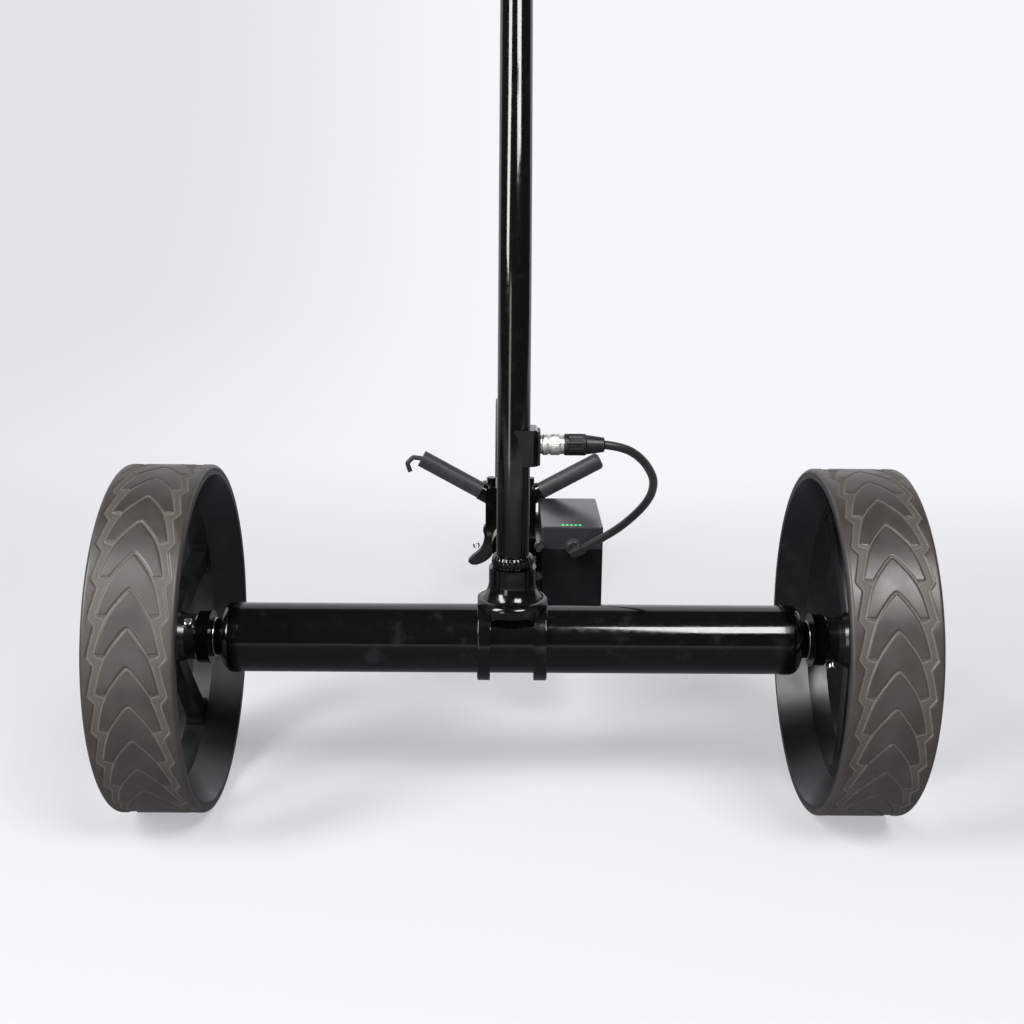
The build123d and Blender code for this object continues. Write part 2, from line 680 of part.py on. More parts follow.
# ------------------------------------------------------------------ drive wheels
for side_name, side in sides:
    section = wheel_section(side)
    inner_x = side * wheel_gap / 2
    well_seat = rim_well_radius + rim_wall
    face_seat = rim_lip_radius + rim_wall
    with BuildPart() as tyre:
        with BuildSketch(section):
            with BuildLine():
                Polyline(
                    (0, wheel_radius - tyre_round),
                    (0, face_seat),
                    (well_start, well_seat),
                    (well_end, well_seat),
                    (wheel_width, face_seat),
                    (wheel_width, wheel_radius - tyre_round),
                )
                ThreePointArc(
                    (wheel_width, wheel_radius - tyre_round),
                    (wheel_width - tyre_round * 0.2929, wheel_radius - tyre_round * 0.2929),
                    (wheel_width - tyre_round, wheel_radius),
                )
                Line((wheel_width - tyre_round, wheel_radius), (tyre_round, wheel_radius))
                ThreePointArc(
                    (tyre_round, wheel_radius),
                    (tyre_round * 0.2929, wheel_radius - tyre_round * 0.2929),
                    (0, wheel_radius - tyre_round),
                )
            make_face()
        revolve(axis=axle_axis)
    parts_made[side_name + "_tyre"] = tyre

    first_spoke = {"left": left_spoke_angle, "right": right_spoke_angle}[side_name]
    with BuildPart() as rim:
        ring_section(
            (
                (0, rim_lip_radius),
                (well_start, rim_well_radius),
                (well_end, rim_well_radius),
                (wheel_width, rim_lip_radius),
                (wheel_width, face_seat),
                (well_end, well_seat),
                (well_start, well_seat),
                (0, face_seat),
            ),
            section,
            axle_axis,
        )
    parts_made[side_name + "_rim"] = rim

    with BuildPart() as spokes:
        ring_section(
            (
                (hub_start, stub_radius),
                (hub_start, hub_radius),
                (hub_start + 9.0, hub_radius),
                (hub_start + 14.0, hub_radius + 1.6),
                (hub_start + 20.0, hub_root_radius),
                (hub_start + 33.0, hub_root_radius),
                (hub_start + 38.0, hub_radius + 1.5),
                (hub_end - 5.0, hub_radius),
                (hub_end, hub_radius - 3.0),
                (hub_nose, 11.0),
                (hub_nose, 0),
                (stub_end, 0),
                (stub_end, stub_radius),
            ),
            section,
            axle_axis,
        )
        for index in range(spoke_count):
            angle = first_spoke + 360.0 / spoke_count * index
            with BuildSketch(radial_section(side, angle)):
                with BuildLine():
                    Polyline(
                        (well_start + 16.0, rim_well_radius + 1.5),
                        (well_start + 1.0, rim_well_radius + 1.5),
                    )
                    ThreePointArc(
                        (well_start + 1.0, rim_well_radius + 1.5),
                        (well_start + 5.0, (hub_radius + rim_well_radius) / 2),
                        (well_start + spoke_lean, hub_radius - 1.0),
                    )
                    Line(
                        (well_start + spoke_lean, hub_radius - 1.0),
                        (well_start + spoke_lean + 11.0, hub_radius - 1.0),
                    )
                    ThreePointArc(
                        (well_start + spoke_lean + 11.0, hub_radius - 1.0),
                        (well_start + 17.5, (hub_radius + rim_well_radius) / 2),
                        (well_start + 16.0, rim_well_radius + 1.5),
                    )
                make_face()
            extrude(amount=spoke_thick / 2, both=True)
            foot_low = rim_well_radius - spoke_foot_depth
            with BuildSketch(radial_section(side, angle)):
                with BuildLine():
                    Polyline(
                        (well_start + 0.5, foot_low),
                        (well_start + 16.5, foot_low),
                        (well_start + 16.5, rim_well_radius + 1.5),
                        (well_start + 0.5, rim_well_radius + 1.5),
                        close=True,
                    )
                make_face()
            extrude(amount=spoke_foot_half, both=True)
        pin_angle = math.radians(pin_angles[side_name])
        pin_out = Vector(0, math.cos(pin_angle), math.sin(pin_angle))
        pin_x = inner_x + side * pin_offset
        pin_base = Vector(pin_x, axle_y, axle_z)
        pin_plane = Plane(origin=pin_base, x_dir=(1, 0, 0), z_dir=pin_out)
        with BuildSketch(pin_plane):
            Circle(pin_stem + sliding_gap)
        extrude(amount=hub_root_radius + 2.0, mode=Mode.SUBTRACT)
        with BuildSketch(pin_plane.offset(hub_radius + 0.1)):
            Circle(pin_head + 0.4)
        extrude(amount=hub_root_radius, mode=Mode.SUBTRACT)
        ring_section(
            (
                (hub_start - 1.0, 0.0),
                (hub_start - 1.0, stub_radius),
                (stub_end, stub_radius),
                (stub_end, 0.0),
            ),
            section,
            axle_axis,
            mode=Mode.SUBTRACT,
        )
        ring_section(
            (
                (-1.0, rim_well_radius),
                (-1.0, face_seat + 5.0),
                (wheel_width + 1.0, face_seat + 5.0),
                (wheel_width + 1.0, rim_well_radius),
            ),
            section,
            axle_axis,
            mode=Mode.SUBTRACT,
        )
    parts_made[side_name + "_spokes"] = spokes

    with BuildPart() as release_pin:
        with BuildSketch(pin_plane.offset(stub_radius - pin_groove + 0.2)):
            Circle(pin_stem)
        extrude(amount=hub_radius - stub_radius + pin_groove + 2.0)
        with BuildSketch(pin_plane.offset(hub_radius + 0.3)):
            Circle(pin_head)
        extrude(amount=pin_head_height)
        pin_top = release_pin.faces().sort_by_distance(pin_base)[-1]
        fillet(pin_top.edges(), 1.0)
    parts_made[side_name + "_release_pin"] = release_pin

    with BuildPart() as hub_collar:
        ring_section(
            (
                (collar_start, stub_radius),
                (collar_start, flange_radius + 1.0),
                (collar_start + 1.4, flange_radius + 1.0),
                (collar_start + 1.4, flange_radius),
                (hub_start - 1.5, flange_radius),
                (hub_start, flange_radius - 1.5),
                (hub_start, stub_radius),
            ),
            section,
            axle_axis,
        )
    parts_made[side_name + "_hub_collar"] = hub_collar

    neck = bearing_bore + 2.0
    inner_journal = bearing_bore - running_gap
    journal_start = seat_start - side_gap
    journal_end = seat_end + side_gap
    collar_x = wheel_gap / 2 + collar_start
    groove_x = wheel_gap / 2 + pin_offset
    groove_half = pin_stem + 0.5
    half_plane = Plane(origin=(0, axle_y, axle_z), x_dir=(side, 0, 0), z_dir=(0, -side, 0))
    with BuildPart() as output_shaft:
        ring_section(
            (
                (carrier_start, 0),
                (carrier_start, carrier_radius),
                (carrier_start + 6.0, carrier_radius),
                (carrier_start + 6.0, neck),
                (journal_start, neck),
                (journal_start, inner_journal),
                (journal_end, inner_journal),
                (journal_end, neck),
                (sleeve_start, neck),
                (sleeve_start, sleeve_radius),
                (collar_x - 2.5, sleeve_radius),
                (collar_x - 2.5, sleeve_radius + 1.5),
                (collar_x, sleeve_radius + 1.5),
                (collar_x, stub_radius),
                (groove_x - groove_half, stub_radius),
                (groove_x - groove_half, stub_radius - pin_groove),
                (groove_x + groove_half, stub_radius - pin_groove),
                (groove_x + groove_half, stub_radius),
                (wheel_gap / 2 + stub_end, stub_radius),
                (wheel_gap / 2 + stub_end, 0),
            ),
            half_plane,
            axle_axis,
        )
    parts_made[side_name + "_output_shaft"] = output_shaft

# ---------------------------------------------------------- socket on the upright
socket_middle = axle_y + socket_y
socket_half_y = socket_block[0] / 2
socket_half_z = socket_block[1] / 2
socket_centre_z = socket_z - 1.3
socket_back = socket_middle - socket_half_y
socket_low = socket_centre_z - socket_half_z
socket_high = socket_centre_z + socket_half_z
flange_face = socket_face + socket_flange
recess_radius = plug_nose_radius + sliding_gap
recess_depth = 6.0
barrel_start = frame_tube_radius + 0.4
with BuildPart() as socket_housing:
    with BuildSketch(Plane(origin=(0, 0, socket_low))):
        with BuildLine():
            Polyline(
                (0, socket_back),
                (socket_face - 4.0, socket_back),
                (socket_face, socket_back + 3.0),
                (socket_face, socket_back + socket_block[0]),
                (0, socket_back + socket_block[0]),
                close=True,
            )
        make_face()
    extrude(amount=socket_block[1])
    chamfer(socket_housing.edges().group_by(Axis.Z)[-1].sort_by(Axis.X)[-1], 2.0)
    cylinder_along_x(barrel_start, 40, socket_barrel_radius, socket_middle, socket_z, mode=Mode.SUBTRACT)
    with BuildSketch(Plane(upright_path.line @ 0, x_dir=(1, 0, 0), z_dir=(0, 0, 1))):
        Circle(frame_tube_radius)
    sweep(path=upright_path.line, mode=Mode.SUBTRACT)
parts_made["socket_housing"] = socket_housing

with BuildPart() as panel_socket:
    block(
        socket_face,
        flange_face,
        socket_back + 3.0,
        socket_back + socket_block[0],
        socket_low,
        socket_high - 2.0,
    )
    fillet(panel_socket.edges().filter_by(Axis.X), 3.0)
    cylinder_along_x(barrel_start, flange_face, socket_barrel_radius, socket_middle, socket_z)
    recess = (flange_face - recess_depth, flange_face + 1.0)
    cylinder_along_x(recess[0], recess[1], recess_radius, socket_middle, socket_z, mode=Mode.SUBTRACT)
parts_made["panel_socket"] = panel_socket

with BuildPart() as cable_plug:
    nose_end = flange_face - recess_depth + side_gap
    cylinder_along_x(nose_end, flange_face, plug_nose_radius, socket_middle, socket_z)
    cylinder_along_x(flange_face, plug_shell_end, plug_shell_radius, socket_middle, socket_z)
    shell_edges = cable_plug.edges().filter_by(GeomType.CIRCLE).group_by(Axis.X)
    chamfer(shell_edges[-1], 0.6)
parts_made["cable_plug"] = cable_plug

with BuildPart() as plug_boot:
    cylinder_along_x(plug_shell_end, plug_collar_end, plug_collar_radius, socket_middle, socket_z)
    with BuildSketch(across(plug_collar_end, socket_middle, socket_z)):
        Circle(7.25)
    with BuildSketch(across(boot_end, socket_middle, socket_z)):
        Circle(6.4)
    loft()
    for index in range(6):
        grip_angle = math.radians(60.0 * index + 30.0)
        grip_out = Vector(0, math.cos(grip_angle), math.sin(grip_angle))
        grip_middle = Vector((plug_shell_end + plug_collar_end) / 2, socket_middle, socket_z)
        grip_plane = Plane(
            origin=grip_middle + grip_out * (plug_collar_radius - 0.7),
            x_dir=(1, 0, 0),
            z_dir=grip_out,
        )
        with BuildSketch(grip_plane):
            SlotOverall(9.0, 4.6)
        extrude(amount=3.0, mode=Mode.SUBTRACT)
parts_made["plug_boot"] = plug_boot

# ------------------------------------------------------------------ battery cable
cable_points = (
    (boot_end, socket_middle, socket_z),
    (92.5, axle_y + 5.2, axle_z + 170.4),
    (108.0, axle_y + 14.0, axle_z + 160.0),
    (118.5, axle_y + 28.5, axle_z + 145.5),
    (125.0, axle_y + 46.0, axle_z + 130.0),
    (124.0, axle_y + 66.0, axle_z + 110.0),
    (112.0, axle_y + 88.0, axle_z + 87.0),
    (92.0, axle_y + 107.0, axle_z + 64.0),
    (68.0, axle_y + 119.5, axle_z + 47.0),
)
cable_corners = [Vector(*point) for point in cable_points]
cable_runs = [cable_corners[i + 1] - cable_corners[i] for i in range(len(cable_corners) - 1)]
cable_radii = []
for before, after in zip(cable_runs, cable_runs[1:]):
    half_turn = math.radians(before.get_angle(after)) / 2
    cable_radii.append(0.45 * min(before.length, after.length) / math.tan(half_turn))
print("cable bend radii", [round(radius, 1) for radius in cable_radii])
print("cable runs", [round(run.length, 1) for run in cable_runs])
with BuildLine() as cable_path:
    FilletPolyline(*cable_corners, radius=cable_radii)
with BuildPart() as battery_cable:
    with BuildSketch(Plane(cable_path.line @ 0, z_dir=cable_path.line % 0)):
        Circle(cable_radius)
    sweep(path=cable_path.line)
section_area = math.pi * cable_radius**2
cable_length = sum(edge.length for edge in cable_path.line.edges())
print("cable length", round(cable_length, 1))
print("cable volume", round(battery_cable.part.volume), round(section_area * cable_length))
parts_made["battery_cable"] = battery_cable

# ------------------------------------------------------------------------ battery
battery_right = battery_left + battery_width
battery_rear = axle_y + battery_back
battery_front = battery_rear + battery_length
battery_floor = battery_top - battery_height
lid_seam = battery_top - lid_height
battery_middle = ((battery_left + battery_right) / 2, (battery_rear + battery_front) / 2)
inner_width = battery_width - 2 * battery_wall
inner_length = battery_length - 2 * battery_wall
with BuildPart() as battery_case:
    with BuildSketch(Plane(origin=(*battery_middle, battery_floor))):
        RectangleRounded(battery_width, battery_length, battery_round)
    extrude(amount=lid_seam - battery_floor)
    with BuildSketch(Plane(origin=(*battery_middle, battery_floor + battery_wall))):
        Rectangle(inner_width, inner_length)
    extrude(amount=battery_height, mode=Mode.SUBTRACT)
    chamfer(battery_case.faces().sort_by(Axis.Z)[0].edges(), 1.0)
parts_made["battery_case"] = battery_case

light_depth = 1.5
with BuildPart() as battery_lid:
    with BuildSketch(Plane(origin=(*battery_middle, lid_seam))):
        RectangleRounded(battery_width, battery_length, battery_round)
    extrude(amount=lid_height)
    fillet(battery_lid.faces().sort_by(Axis.Z)[-1].edges(), 1.5)
    with BuildSketch(Plane(origin=(*battery_middle, lid_seam))):
        Rectangle(inner_width, inner_length)
    extrude(amount=lid_height - battery_wall, mode=Mode.SUBTRACT)
    for index in range(light_count):
        with Locations((light_first + index * light_pitch, battery_rear + light_inset, battery_top)):
            Cylinder(light_radius, 2 * light_depth, mode=Mode.SUBTRACT)
parts_made["battery_lid"] = battery_lid

with BuildPart() as battery_lights:
    for index in range(light_count):
        light_place = (light_first + index * light_pitch, battery_rear + light_inset, battery_top)
        with Locations((light_place[0], light_place[1], battery_top - light_depth)):
            Cylinder(
                light_radius,
                light_depth + 0.2,
                align=(Align.CENTER, Align.CENTER, Align.MIN),
            )
parts_made["battery_lights"] = battery_lights

cell_pitch = 20.4
with BuildPart() as battery_cells:
    with Locations((*battery_middle, battery_floor + battery_wall)):
        with GridLocations(cell_pitch, cell_pitch, 2, 5):
            Cylinder(cell_radius, cell_height, align=(Align.CENTER, Align.CENTER, Align.MIN))
parts_made["battery_cells"] = battery_cells

gland_base = (59.4, battery_top - 18.6)
gland_radius = 7.6
cable_in = (cable_corners[-1] - cable_corners[-2]).normalized()
with BuildPart() as battery_gland:
    cylinder_along_y(battery_rear - 8.0, battery_rear, gland_radius, gland_base[0], gland_base[1])
    fillet(battery_gland.edges().group_by(Axis.Y)[0], 3.0)
    with BuildSketch(Plane(cable_corners[-1], z_dir=cable_in)):
        Circle(cable_radius + 1.6)
    extrude(amount=13.0)
    block(20.0, 110.0, battery_rear, battery_rear + 20.0, lid_seam - 60, battery_top + 30, mode=Mode.SUBTRACT)
parts_made["battery_gland"] = battery_gland

# ------------------------------------------------------------------- battery tray
rest_middle = axle_y + rest_y
rest_back = rest_middle - rest_length / 2
rest_front = rest_middle + rest_length / 2
plate_inner = battery_left - 4.6
clamp_y = battery_rear + 34.0
clamp_half = 11.0
clamp_radius = frame_tube_radius + 5.0
with BuildPart() as battery_tray:
    plate_top = battery_floor + tray_side_height
    block(plate_inner, battery_left, battery_rear, rest_back, battery_floor - tray_plate, plate_top)
    block(
        plate_inner,
        battery_right,
        battery_rear,
        battery_front,
        battery_floor - tray_plate,
        battery_floor,
    )
    block(
        battery_left,
        battery_right,
        battery_front,
        battery_front + tray_plate,
        battery_floor - tray_plate,
        battery_floor + tray_lip,
    )
    block(
        battery_right,
        battery_right + tray_plate,
        battery_rear,
        battery_front + tray_plate,
        battery_floor - tray_plate,
        battery_floor + tray_lip,
    )
    block(
        0,
        plate_inner + 0.1,
        clamp_y - clamp_half,
        clamp_y + clamp_half,
        lower_tube_z - 9.0,
        lower_tube_z + 9.0,
    )
    cylinder_along_y(clamp_y - clamp_half, clamp_y + clamp_half, clamp_radius, 0, lower_tube_z)
    cylinder_along_y(
        clamp_y - 30.0,
        clamp_y + 30.0,
        frame_tube_radius,
        0,
        lower_tube_z,
        mode=Mode.SUBTRACT,
    )
parts_made["battery_tray"] = battery_tray

tray_bolt_x = (plate_inner + battery_left) / 2
with frame_screws:
    cylinder_along_y(battery_rear - 2.6, battery_rear, 4.0, tray_bolt_x, plate_top - 34.2)
    cylinder_along_y(battery_rear - 5.0, battery_rear, 3.0, tray_bolt_x, plate_top - 3.0)
    cylinder_along_y(battery_rear - 11.0, battery_rear - 5.0, 4.6, tray_bolt_x, plate_top - 3.0)

# ---------------------------------------------------------------- lower bag rest
arm_run = Vector(arm_tip[0] - arm_root[0], 0, arm_tip[1] - arm_root[1])
arm_length = arm_run.length
lever_pivot = (-22.0, lower_tube_z - 10.0)
lever_half = 5.0
lever_hub = 6.6
lever_pin = 2.5
slot_half = lever_half + side_gap
slot_radius = lever_hub + 0.6


def along_arm(side, distance):
    """Point on the axis of one bag rest arm, measured from its root."""
    direction = arm_run.normalized()
    root = Vector(side * arm_root[0], rest_middle, arm_root[1])
    return root + Vector(side * direction.X, 0, direction.Z) * distance


def arm_rod(side, start, end, radius, mode=Mode.ADD):
    """Round rod on the axis of one bag rest arm, in the open part."""
    first = along_arm(side, start)
    last = along_arm(side, end)
    with Locations(Plane(origin=(first + last) / 2, z_dir=(last - first).normalized())):
        Cylinder(radius, end - start, mode=mode)


with BuildPart() as bag_rest_saddle:
    block(-rest_half, rest_half, rest_back, rest_front, rest_bottom, rest_top)
    fillet(bag_rest_saddle.edges().filter_by(Axis.Y), 5.0)
    block(
        -rest_half + 3.0,
        rest_half - 3.0,
        rest_back - 4.0,
        rest_back + 4.0,
        rest_bottom + 3.0,
        lower_tube_z + 6.0,
    )
    block(
        -rest_half,
        rest_half,
        rest_front - 1.0,
        rest_front + foot_plate[1],
        foot_top - foot_plate[2],
        foot_top,
    )
    for side_name, side in sides:
        arm_rod(side, 0.0, arm_length - 4.0, arm_core_radius)
        arm_rod(side, 0.0, arm_bare, arm_sleeve_radius + 1.0)
        with Locations((side * (rest_half - 6.0), rest_middle + 9.0, rest_top - 2.0)):
            Cylinder(4.5, 8.0, align=(Align.CENTER, Align.CENTER, Align.MIN))
    cylinder_along_y(
        rest_back - 6.0,
        rest_front + 1.0,
        frame_tube_radius,
        0,
        lower_tube_z,
        mode=Mode.SUBTRACT,
    )
    block(
        -40.0,
        lever_pivot[0],
        rest_middle - slot_half,
        rest_middle + slot_half,
        rest_bottom - 2.0,
        lever_pivot[1] + slot_radius,
        mode=Mode.SUBTRACT,
    )
    block(
        lever_pivot[0] - 1.0,
        lever_pivot[0] + slot_radius,
        rest_middle - slot_half,
        rest_middle + slot_half,
        rest_bottom - 2.0,
        lever_pivot[1],
        mode=Mode.SUBTRACT,
    )
    lever_slot = (rest_middle - slot_half, rest_middle + slot_half)
    cylinder_along_y(
        lever_slot[0],
        lever_slot[1],
        slot_radius,
        lever_pivot[0],
        lever_pivot[1],
        mode=Mode.SUBTRACT,
    )
    cylinder_along_y(
        rest_back - 5.0,
        rest_front - 5.0,
        lever_pin,
        lever_pivot[0],
        lever_pivot[1],
        mode=Mode.SUBTRACT,
    )
parts_made["bag_rest_saddle"] = bag_rest_saddle

sleeve_cap = 3.0
for side_name, side in sides:
    with BuildPart() as rest_sleeve:
        arm_rod(side, arm_bare, arm_length - 4.0 + sleeve_cap, arm_sleeve_radius)
        if side > 0:
            tip = along_arm(side, arm_length)
            tip_edges = rest_sleeve.edges().filter_by(GeomType.CIRCLE).sort_by_distance(tip)
            fillet(tip_edges[0], 4.0)
        arm_rod(side, arm_bare - 1.0, arm_length - 4.0, arm_core_radius, mode=Mode.SUBTRACT)
    parts_made[side_name + "_rest_sleeve"] = rest_sleeve

hook_start = along_arm(-1, arm_length - 4.0 + sleeve_cap)
with BuildPart() as strap_hook:
    with BuildLine() as hook_path:
        FilletPolyline(
            hook_start,
            hook_start + Vector(-9.0, 0, 1.0),
            hook_start + Vector(-15.0, 0, -5.0),
            hook_start + Vector(-12.0, 0, -14.0),
            radius=2.6,
        )
    with BuildSketch(Plane(hook_path.line @ 0, z_dir=hook_path.line % 0)):
        Circle(2.4)
    sweep(path=hook_path.line)
parts_made["strap_hook"] = strap_hook

with BuildPart() as rest_clamp_lever:
    with BuildSketch(facing_back(rest_middle + lever_half, *lever_pivot)):
        with BuildLine():
            Spline(
                (-6.55, 0.0),
                (-5.3, -8.0),
                (-7.2, -17.0),
                (-12.0, -24.0),
                (-18.0, -29.0),
                (-22.0, -34.0),
            )
            Spline(
                (-22.0, -34.0),
                (-18.8, -36.8),
                (-6.0, -34.5),
                (1.6, -28.5),
                (5.2, -21.0),
            )
            Polyline((5.2, -21.0), (5.6, -8.0), (6.55, 0.0))
            Line((6.55, 0.0), (-6.55, 0.0))
        make_face()
    extrude(amount=2 * lever_half)
    lever_faces = (rest_middle - lever_half, rest_middle + lever_half)
    cylinder_along_y(lever_faces[0], lever_faces[1], lever_hub, lever_pivot[0], lever_pivot[1])
    pin_room = lever_pin + running_gap
    cylinder_along_y(
        lever_faces[0] - 1.0,
        lever_faces[1] + 1.0,
        pin_room,
        lever_pivot[0],
        lever_pivot[1],
        mode=Mode.SUBTRACT,
    )
parts_made["rest_clamp_lever"] = rest_clamp_lever

with frame_screws:
    cylinder_along_y(rest_back - 4.0, rest_front - 5.0, lever_pin, lever_pivot[0], lever_pivot[1])

# --------------------------------------------------------------------- fold joint
down_angle = upright_lean + 180.0


def polar(distance, degrees):
    """Local point on the fold joint's side view, at this angle from +Y."""
    angle = math.radians(degrees)
    return (distance * math.cos(angle), distance * math.sin(angle))


def joint_side(x):
    """Plane through the fold pivot's axis at one X, with +Y right and +Z up."""
    return across(x, pivot_y, pivot_z)


def in_tube_frame(degrees, start):
    """Plane square to a direction from the pivot, at this distance along it."""
    angle = math.radians(degrees)
    out = Vector(0, math.cos(angle), math.sin(angle))
    return Plane(origin=Vector(*pivot) + out * start, x_dir=(1, 0, 0), z_dir=out)


def rotated_box(along, half_width, degrees):
    """Corners of a bar from one distance to another along a direction from the pivot."""
    angle = math.radians(degrees)
    ux, uy = math.cos(angle), math.sin(angle)
    start, end = along
    return (
        (start * ux - half_width * uy, start * uy + half_width * ux),
        (end * ux - half_width * uy, end * uy + half_width * ux),
        (end * ux + half_width * uy, end * uy - half_width * ux),
        (start * ux + half_width * uy, start * uy - half_width * ux),
    )


ear_outer = ear_gap_half + ear_thick
lock_point = polar(stop_distance, stop_angle)
with BuildPart() as fold_bracket:
    with BuildSketch(in_tube_frame(down_angle, fold_socket_floor)):
        Circle(fold_socket_radius)
    extrude(amount=fold_socket_start - fold_socket_floor)
    for side_name, side in sides:
        with BuildSketch(joint_side(side * ear_gap_half)):
            Circle(ear_radius)
            with BuildLine():
                Polyline(*rotated_box((0, fold_socket_floor + 18.0), ear_radius, down_angle), close=True)
            make_face()
            with Locations(lock_point):
                Circle(stop_lug_radius)
            make_hull()
        extrude(amount=side * ear_thick)
    with BuildSketch(in_tube_frame(down_angle, fold_socket_floor + fold_floor)):
        Circle(frame_tube_radius)
    extrude(amount=120, mode=Mode.SUBTRACT)
    with Locations(joint_side(0)):
        Cylinder(fold_pin_radius, 80, mode=Mode.SUBTRACT)
    with Locations(across(0, pivot_y + lock_point[0], pivot_z + lock_point[1])):
        Cylinder(stop_bolt_radius, 80, mode=Mode.SUBTRACT)
parts_made["fold_bracket"] = fold_bracket

with BuildPart() as fold_knuckle:
    with BuildSketch(joint_side(-knuckle_half)):
        Circle(knuckle_radius)
        with BuildLine():
            Polyline(*rotated_box((0, knuckle_socket_start + 8.0), knuckle_web, handle_rise_angle), close=True)
        make_face()
    extrude(amount=2 * knuckle_half)
    with BuildSketch(in_tube_frame(handle_rise_angle, knuckle_socket_start)):
        Circle(fold_socket_radius)
    extrude(amount=knuckle_socket_end - knuckle_socket_start)
    with BuildSketch(in_tube_frame(handle_rise_angle, handle_tube_start)):
        Circle(frame_tube_radius)
    extrude(amount=120, mode=Mode.SUBTRACT)
    with Locations(joint_side(0)):
        Cylinder(fold_pin_radius + running_gap, 80, mode=Mode.SUBTRACT)
    with Locations(across(0, pivot_y + lock_point[0], pivot_z + lock_point[1])):
        Cylinder(stop_bolt_radius + 0.3, 80, mode=Mode.SUBTRACT)
parts_made["fold_knuckle"] = fold_knuckle

with frame_screws:
    with Locations(joint_side(0)):
        Cylinder(fold_pin_radius, 2 * ear_outer)
    for side_name, side in sides:
        with Locations(joint_side(side * (ear_outer + 1.25))):
            Cylinder(fold_pin_radius + 3.0, 2.5)

lever_face = ear_outer + 0.3
lock_y = pivot_y + lock_point[0]
lock_z = pivot_z + lock_point[1]
with BuildPart() as fold_clamp_lever:
    cylinder_along_x(-lever_face, lever_face, stop_bolt_radius - running_gap, lock_y, lock_z)
    cylinder_along_x(lever_face, lever_face + 6.7, 7.0, lock_y, lock_z)
    cylinder_along_x(-lever_face, -lever_face - 13.7, 9.0, lock_y, lock_z)
    lever_end = polar(58.0, down_angle)
    with BuildSketch(across(-lever_face - 6.7, lock_y, lock_z)):
        Circle(8.0)
        with Locations(lever_end):
            Circle(6.0)
        make_hull()
    extrude(amount=-7.0)
parts_made["fold_clamp_lever"] = fold_clamp_lever

# ----------------------------------------------------------------- upper bag rest
yoke_start = 68.0
yoke_end = 92.0
yoke_radius = fold_socket_radius + 7.0
horn_radius = 6.5
pad_radius = 10.0
down = math.radians(down_angle)
yoke_middle = Vector(*pivot) + Vector(0, math.cos(down), math.sin(down)) * (yoke_start + yoke_end) / 2
pad_length = 44.0


def horn_points(side):
    """Corners of one horn of the upper bag rest, from the ring to its tip."""
    return (
        yoke_middle + Vector(side * 19.0, 6.0, 0),
        yoke_middle + Vector(side * 62.0, 28.0, 6.0),
        yoke_middle + Vector(side * 92.0, 62.0, 16.0),
        yoke_middle + Vector(side * 108.0, 108.0, 28.0),
    )


with BuildPart() as upper_rest_yoke:
    with BuildSketch(in_tube_frame(down_angle, yoke_start)):
        Circle(yoke_radius)
    extrude(amount=yoke_end - yoke_start)
    for side_name, side in sides:
        with BuildLine(mode=Mode.PRIVATE) as horn_line:
            FilletPolyline(*horn_points(side), radius=30.0)
        with BuildSketch(Plane(horn_line.line @ 0, z_dir=horn_line.line % 0)) as horn_section:
            Circle(horn_radius)
        sweep(path=horn_line.line)
    with BuildSketch(in_tube_frame(down_angle, yoke_start - 10.0)):
        Circle(fold_socket_radius)
    extrude(amount=yoke_end - yoke_start + 20.0, mode=Mode.SUBTRACT)
parts_made["upper_rest_yoke"] = upper_rest_yoke

with BuildPart() as upper_rest_pads:
    for side_name, side in sides:
        horn_tip = horn_points(side)[-1]
        horn_back = (horn_points(side)[-2] - horn_tip).normalized()
        pad_start = horn_tip + horn_back * (pad_length - 4.0)
        pad_end = horn_tip - horn_back * 4.0
        pad_plane = Plane(origin=pad_start, z_dir=(pad_end - pad_start).normalized())
        with BuildSketch(pad_plane):
            Circle(pad_radius)
        extrude(amount=pad_length)
        pad_rims = upper_rest_pads.edges().filter_by(GeomType.CIRCLE).sort_by_distance(pad_end)
        fillet(pad_rims[0], 4.0)
        with BuildSketch(pad_plane.offset(-1.0)):
            Circle(horn_radius)
        extrude(amount=pad_length - 4.0 + 1.0, mode=Mode.SUBTRACT)
parts_made["upper_rest_pads"] = upper_rest_pads

# -------------------------------------------------------------- handle and console
with BuildPart() as upper_tube:
    with BuildSketch(in_tube_frame(handle_rise_angle, handle_tube_start)):
        Circle(frame_tube_radius)
        Circle(frame_tube_radius - frame_tube_wall, mode=Mode.SUBTRACT)
    sweep(path=handle_path.line)
    cylinder_along_x(-30, 30, crossbar_radius, crossbar_y, handle_z, mode=Mode.SUBTRACT)
parts_made["upper_tube"] = upper_tube

with BuildPart() as handle_bar:
    cylinder_along_x(-crossbar_half, crossbar_half, crossbar_radius, crossbar_y, handle_z)
    bar_bore = crossbar_radius - 2.0
    cylinder_along_x(
        -crossbar_half,
        crossbar_half,
        bar_bore,
        crossbar_y,
        handle_z,
        mode=Mode.SUBTRACT,
    )
parts_made["handle_bar"] = handle_bar

for side_name, side in sides:
    with BuildPart() as grip:
        grip_tip = crossbar_half + grip_end
        cylinder_along_x(side * grip_inner, side * grip_tip, grip_radius, crossbar_y, handle_z)
        grip_rims = grip.edges().filter_by(GeomType.CIRCLE).group_by(Axis.X)
        fillet(grip_rims[-1] if side > 0 else grip_rims[0], 3.0)
        fillet(grip_rims[0] if side > 0 else grip_rims[-1], 1.5)
        cylinder_along_x(
            side * (grip_inner - 1.0),
            side * crossbar_half,
            crossbar_radius,
            crossbar_y,
            handle_z,
            mode=Mode.SUBTRACT,
        )
    parts_made[side_name + "_grip"] = grip

console_rear = crossbar_y - console_back
console_front = console_rear + console_length
console_middle = (console_rear + console_front) / 2
console_top = handle_z + console_high
console_bottom = handle_z - console_low
dial_y = crossbar_y + dial_ahead
button_y = crossbar_y + button_ahead


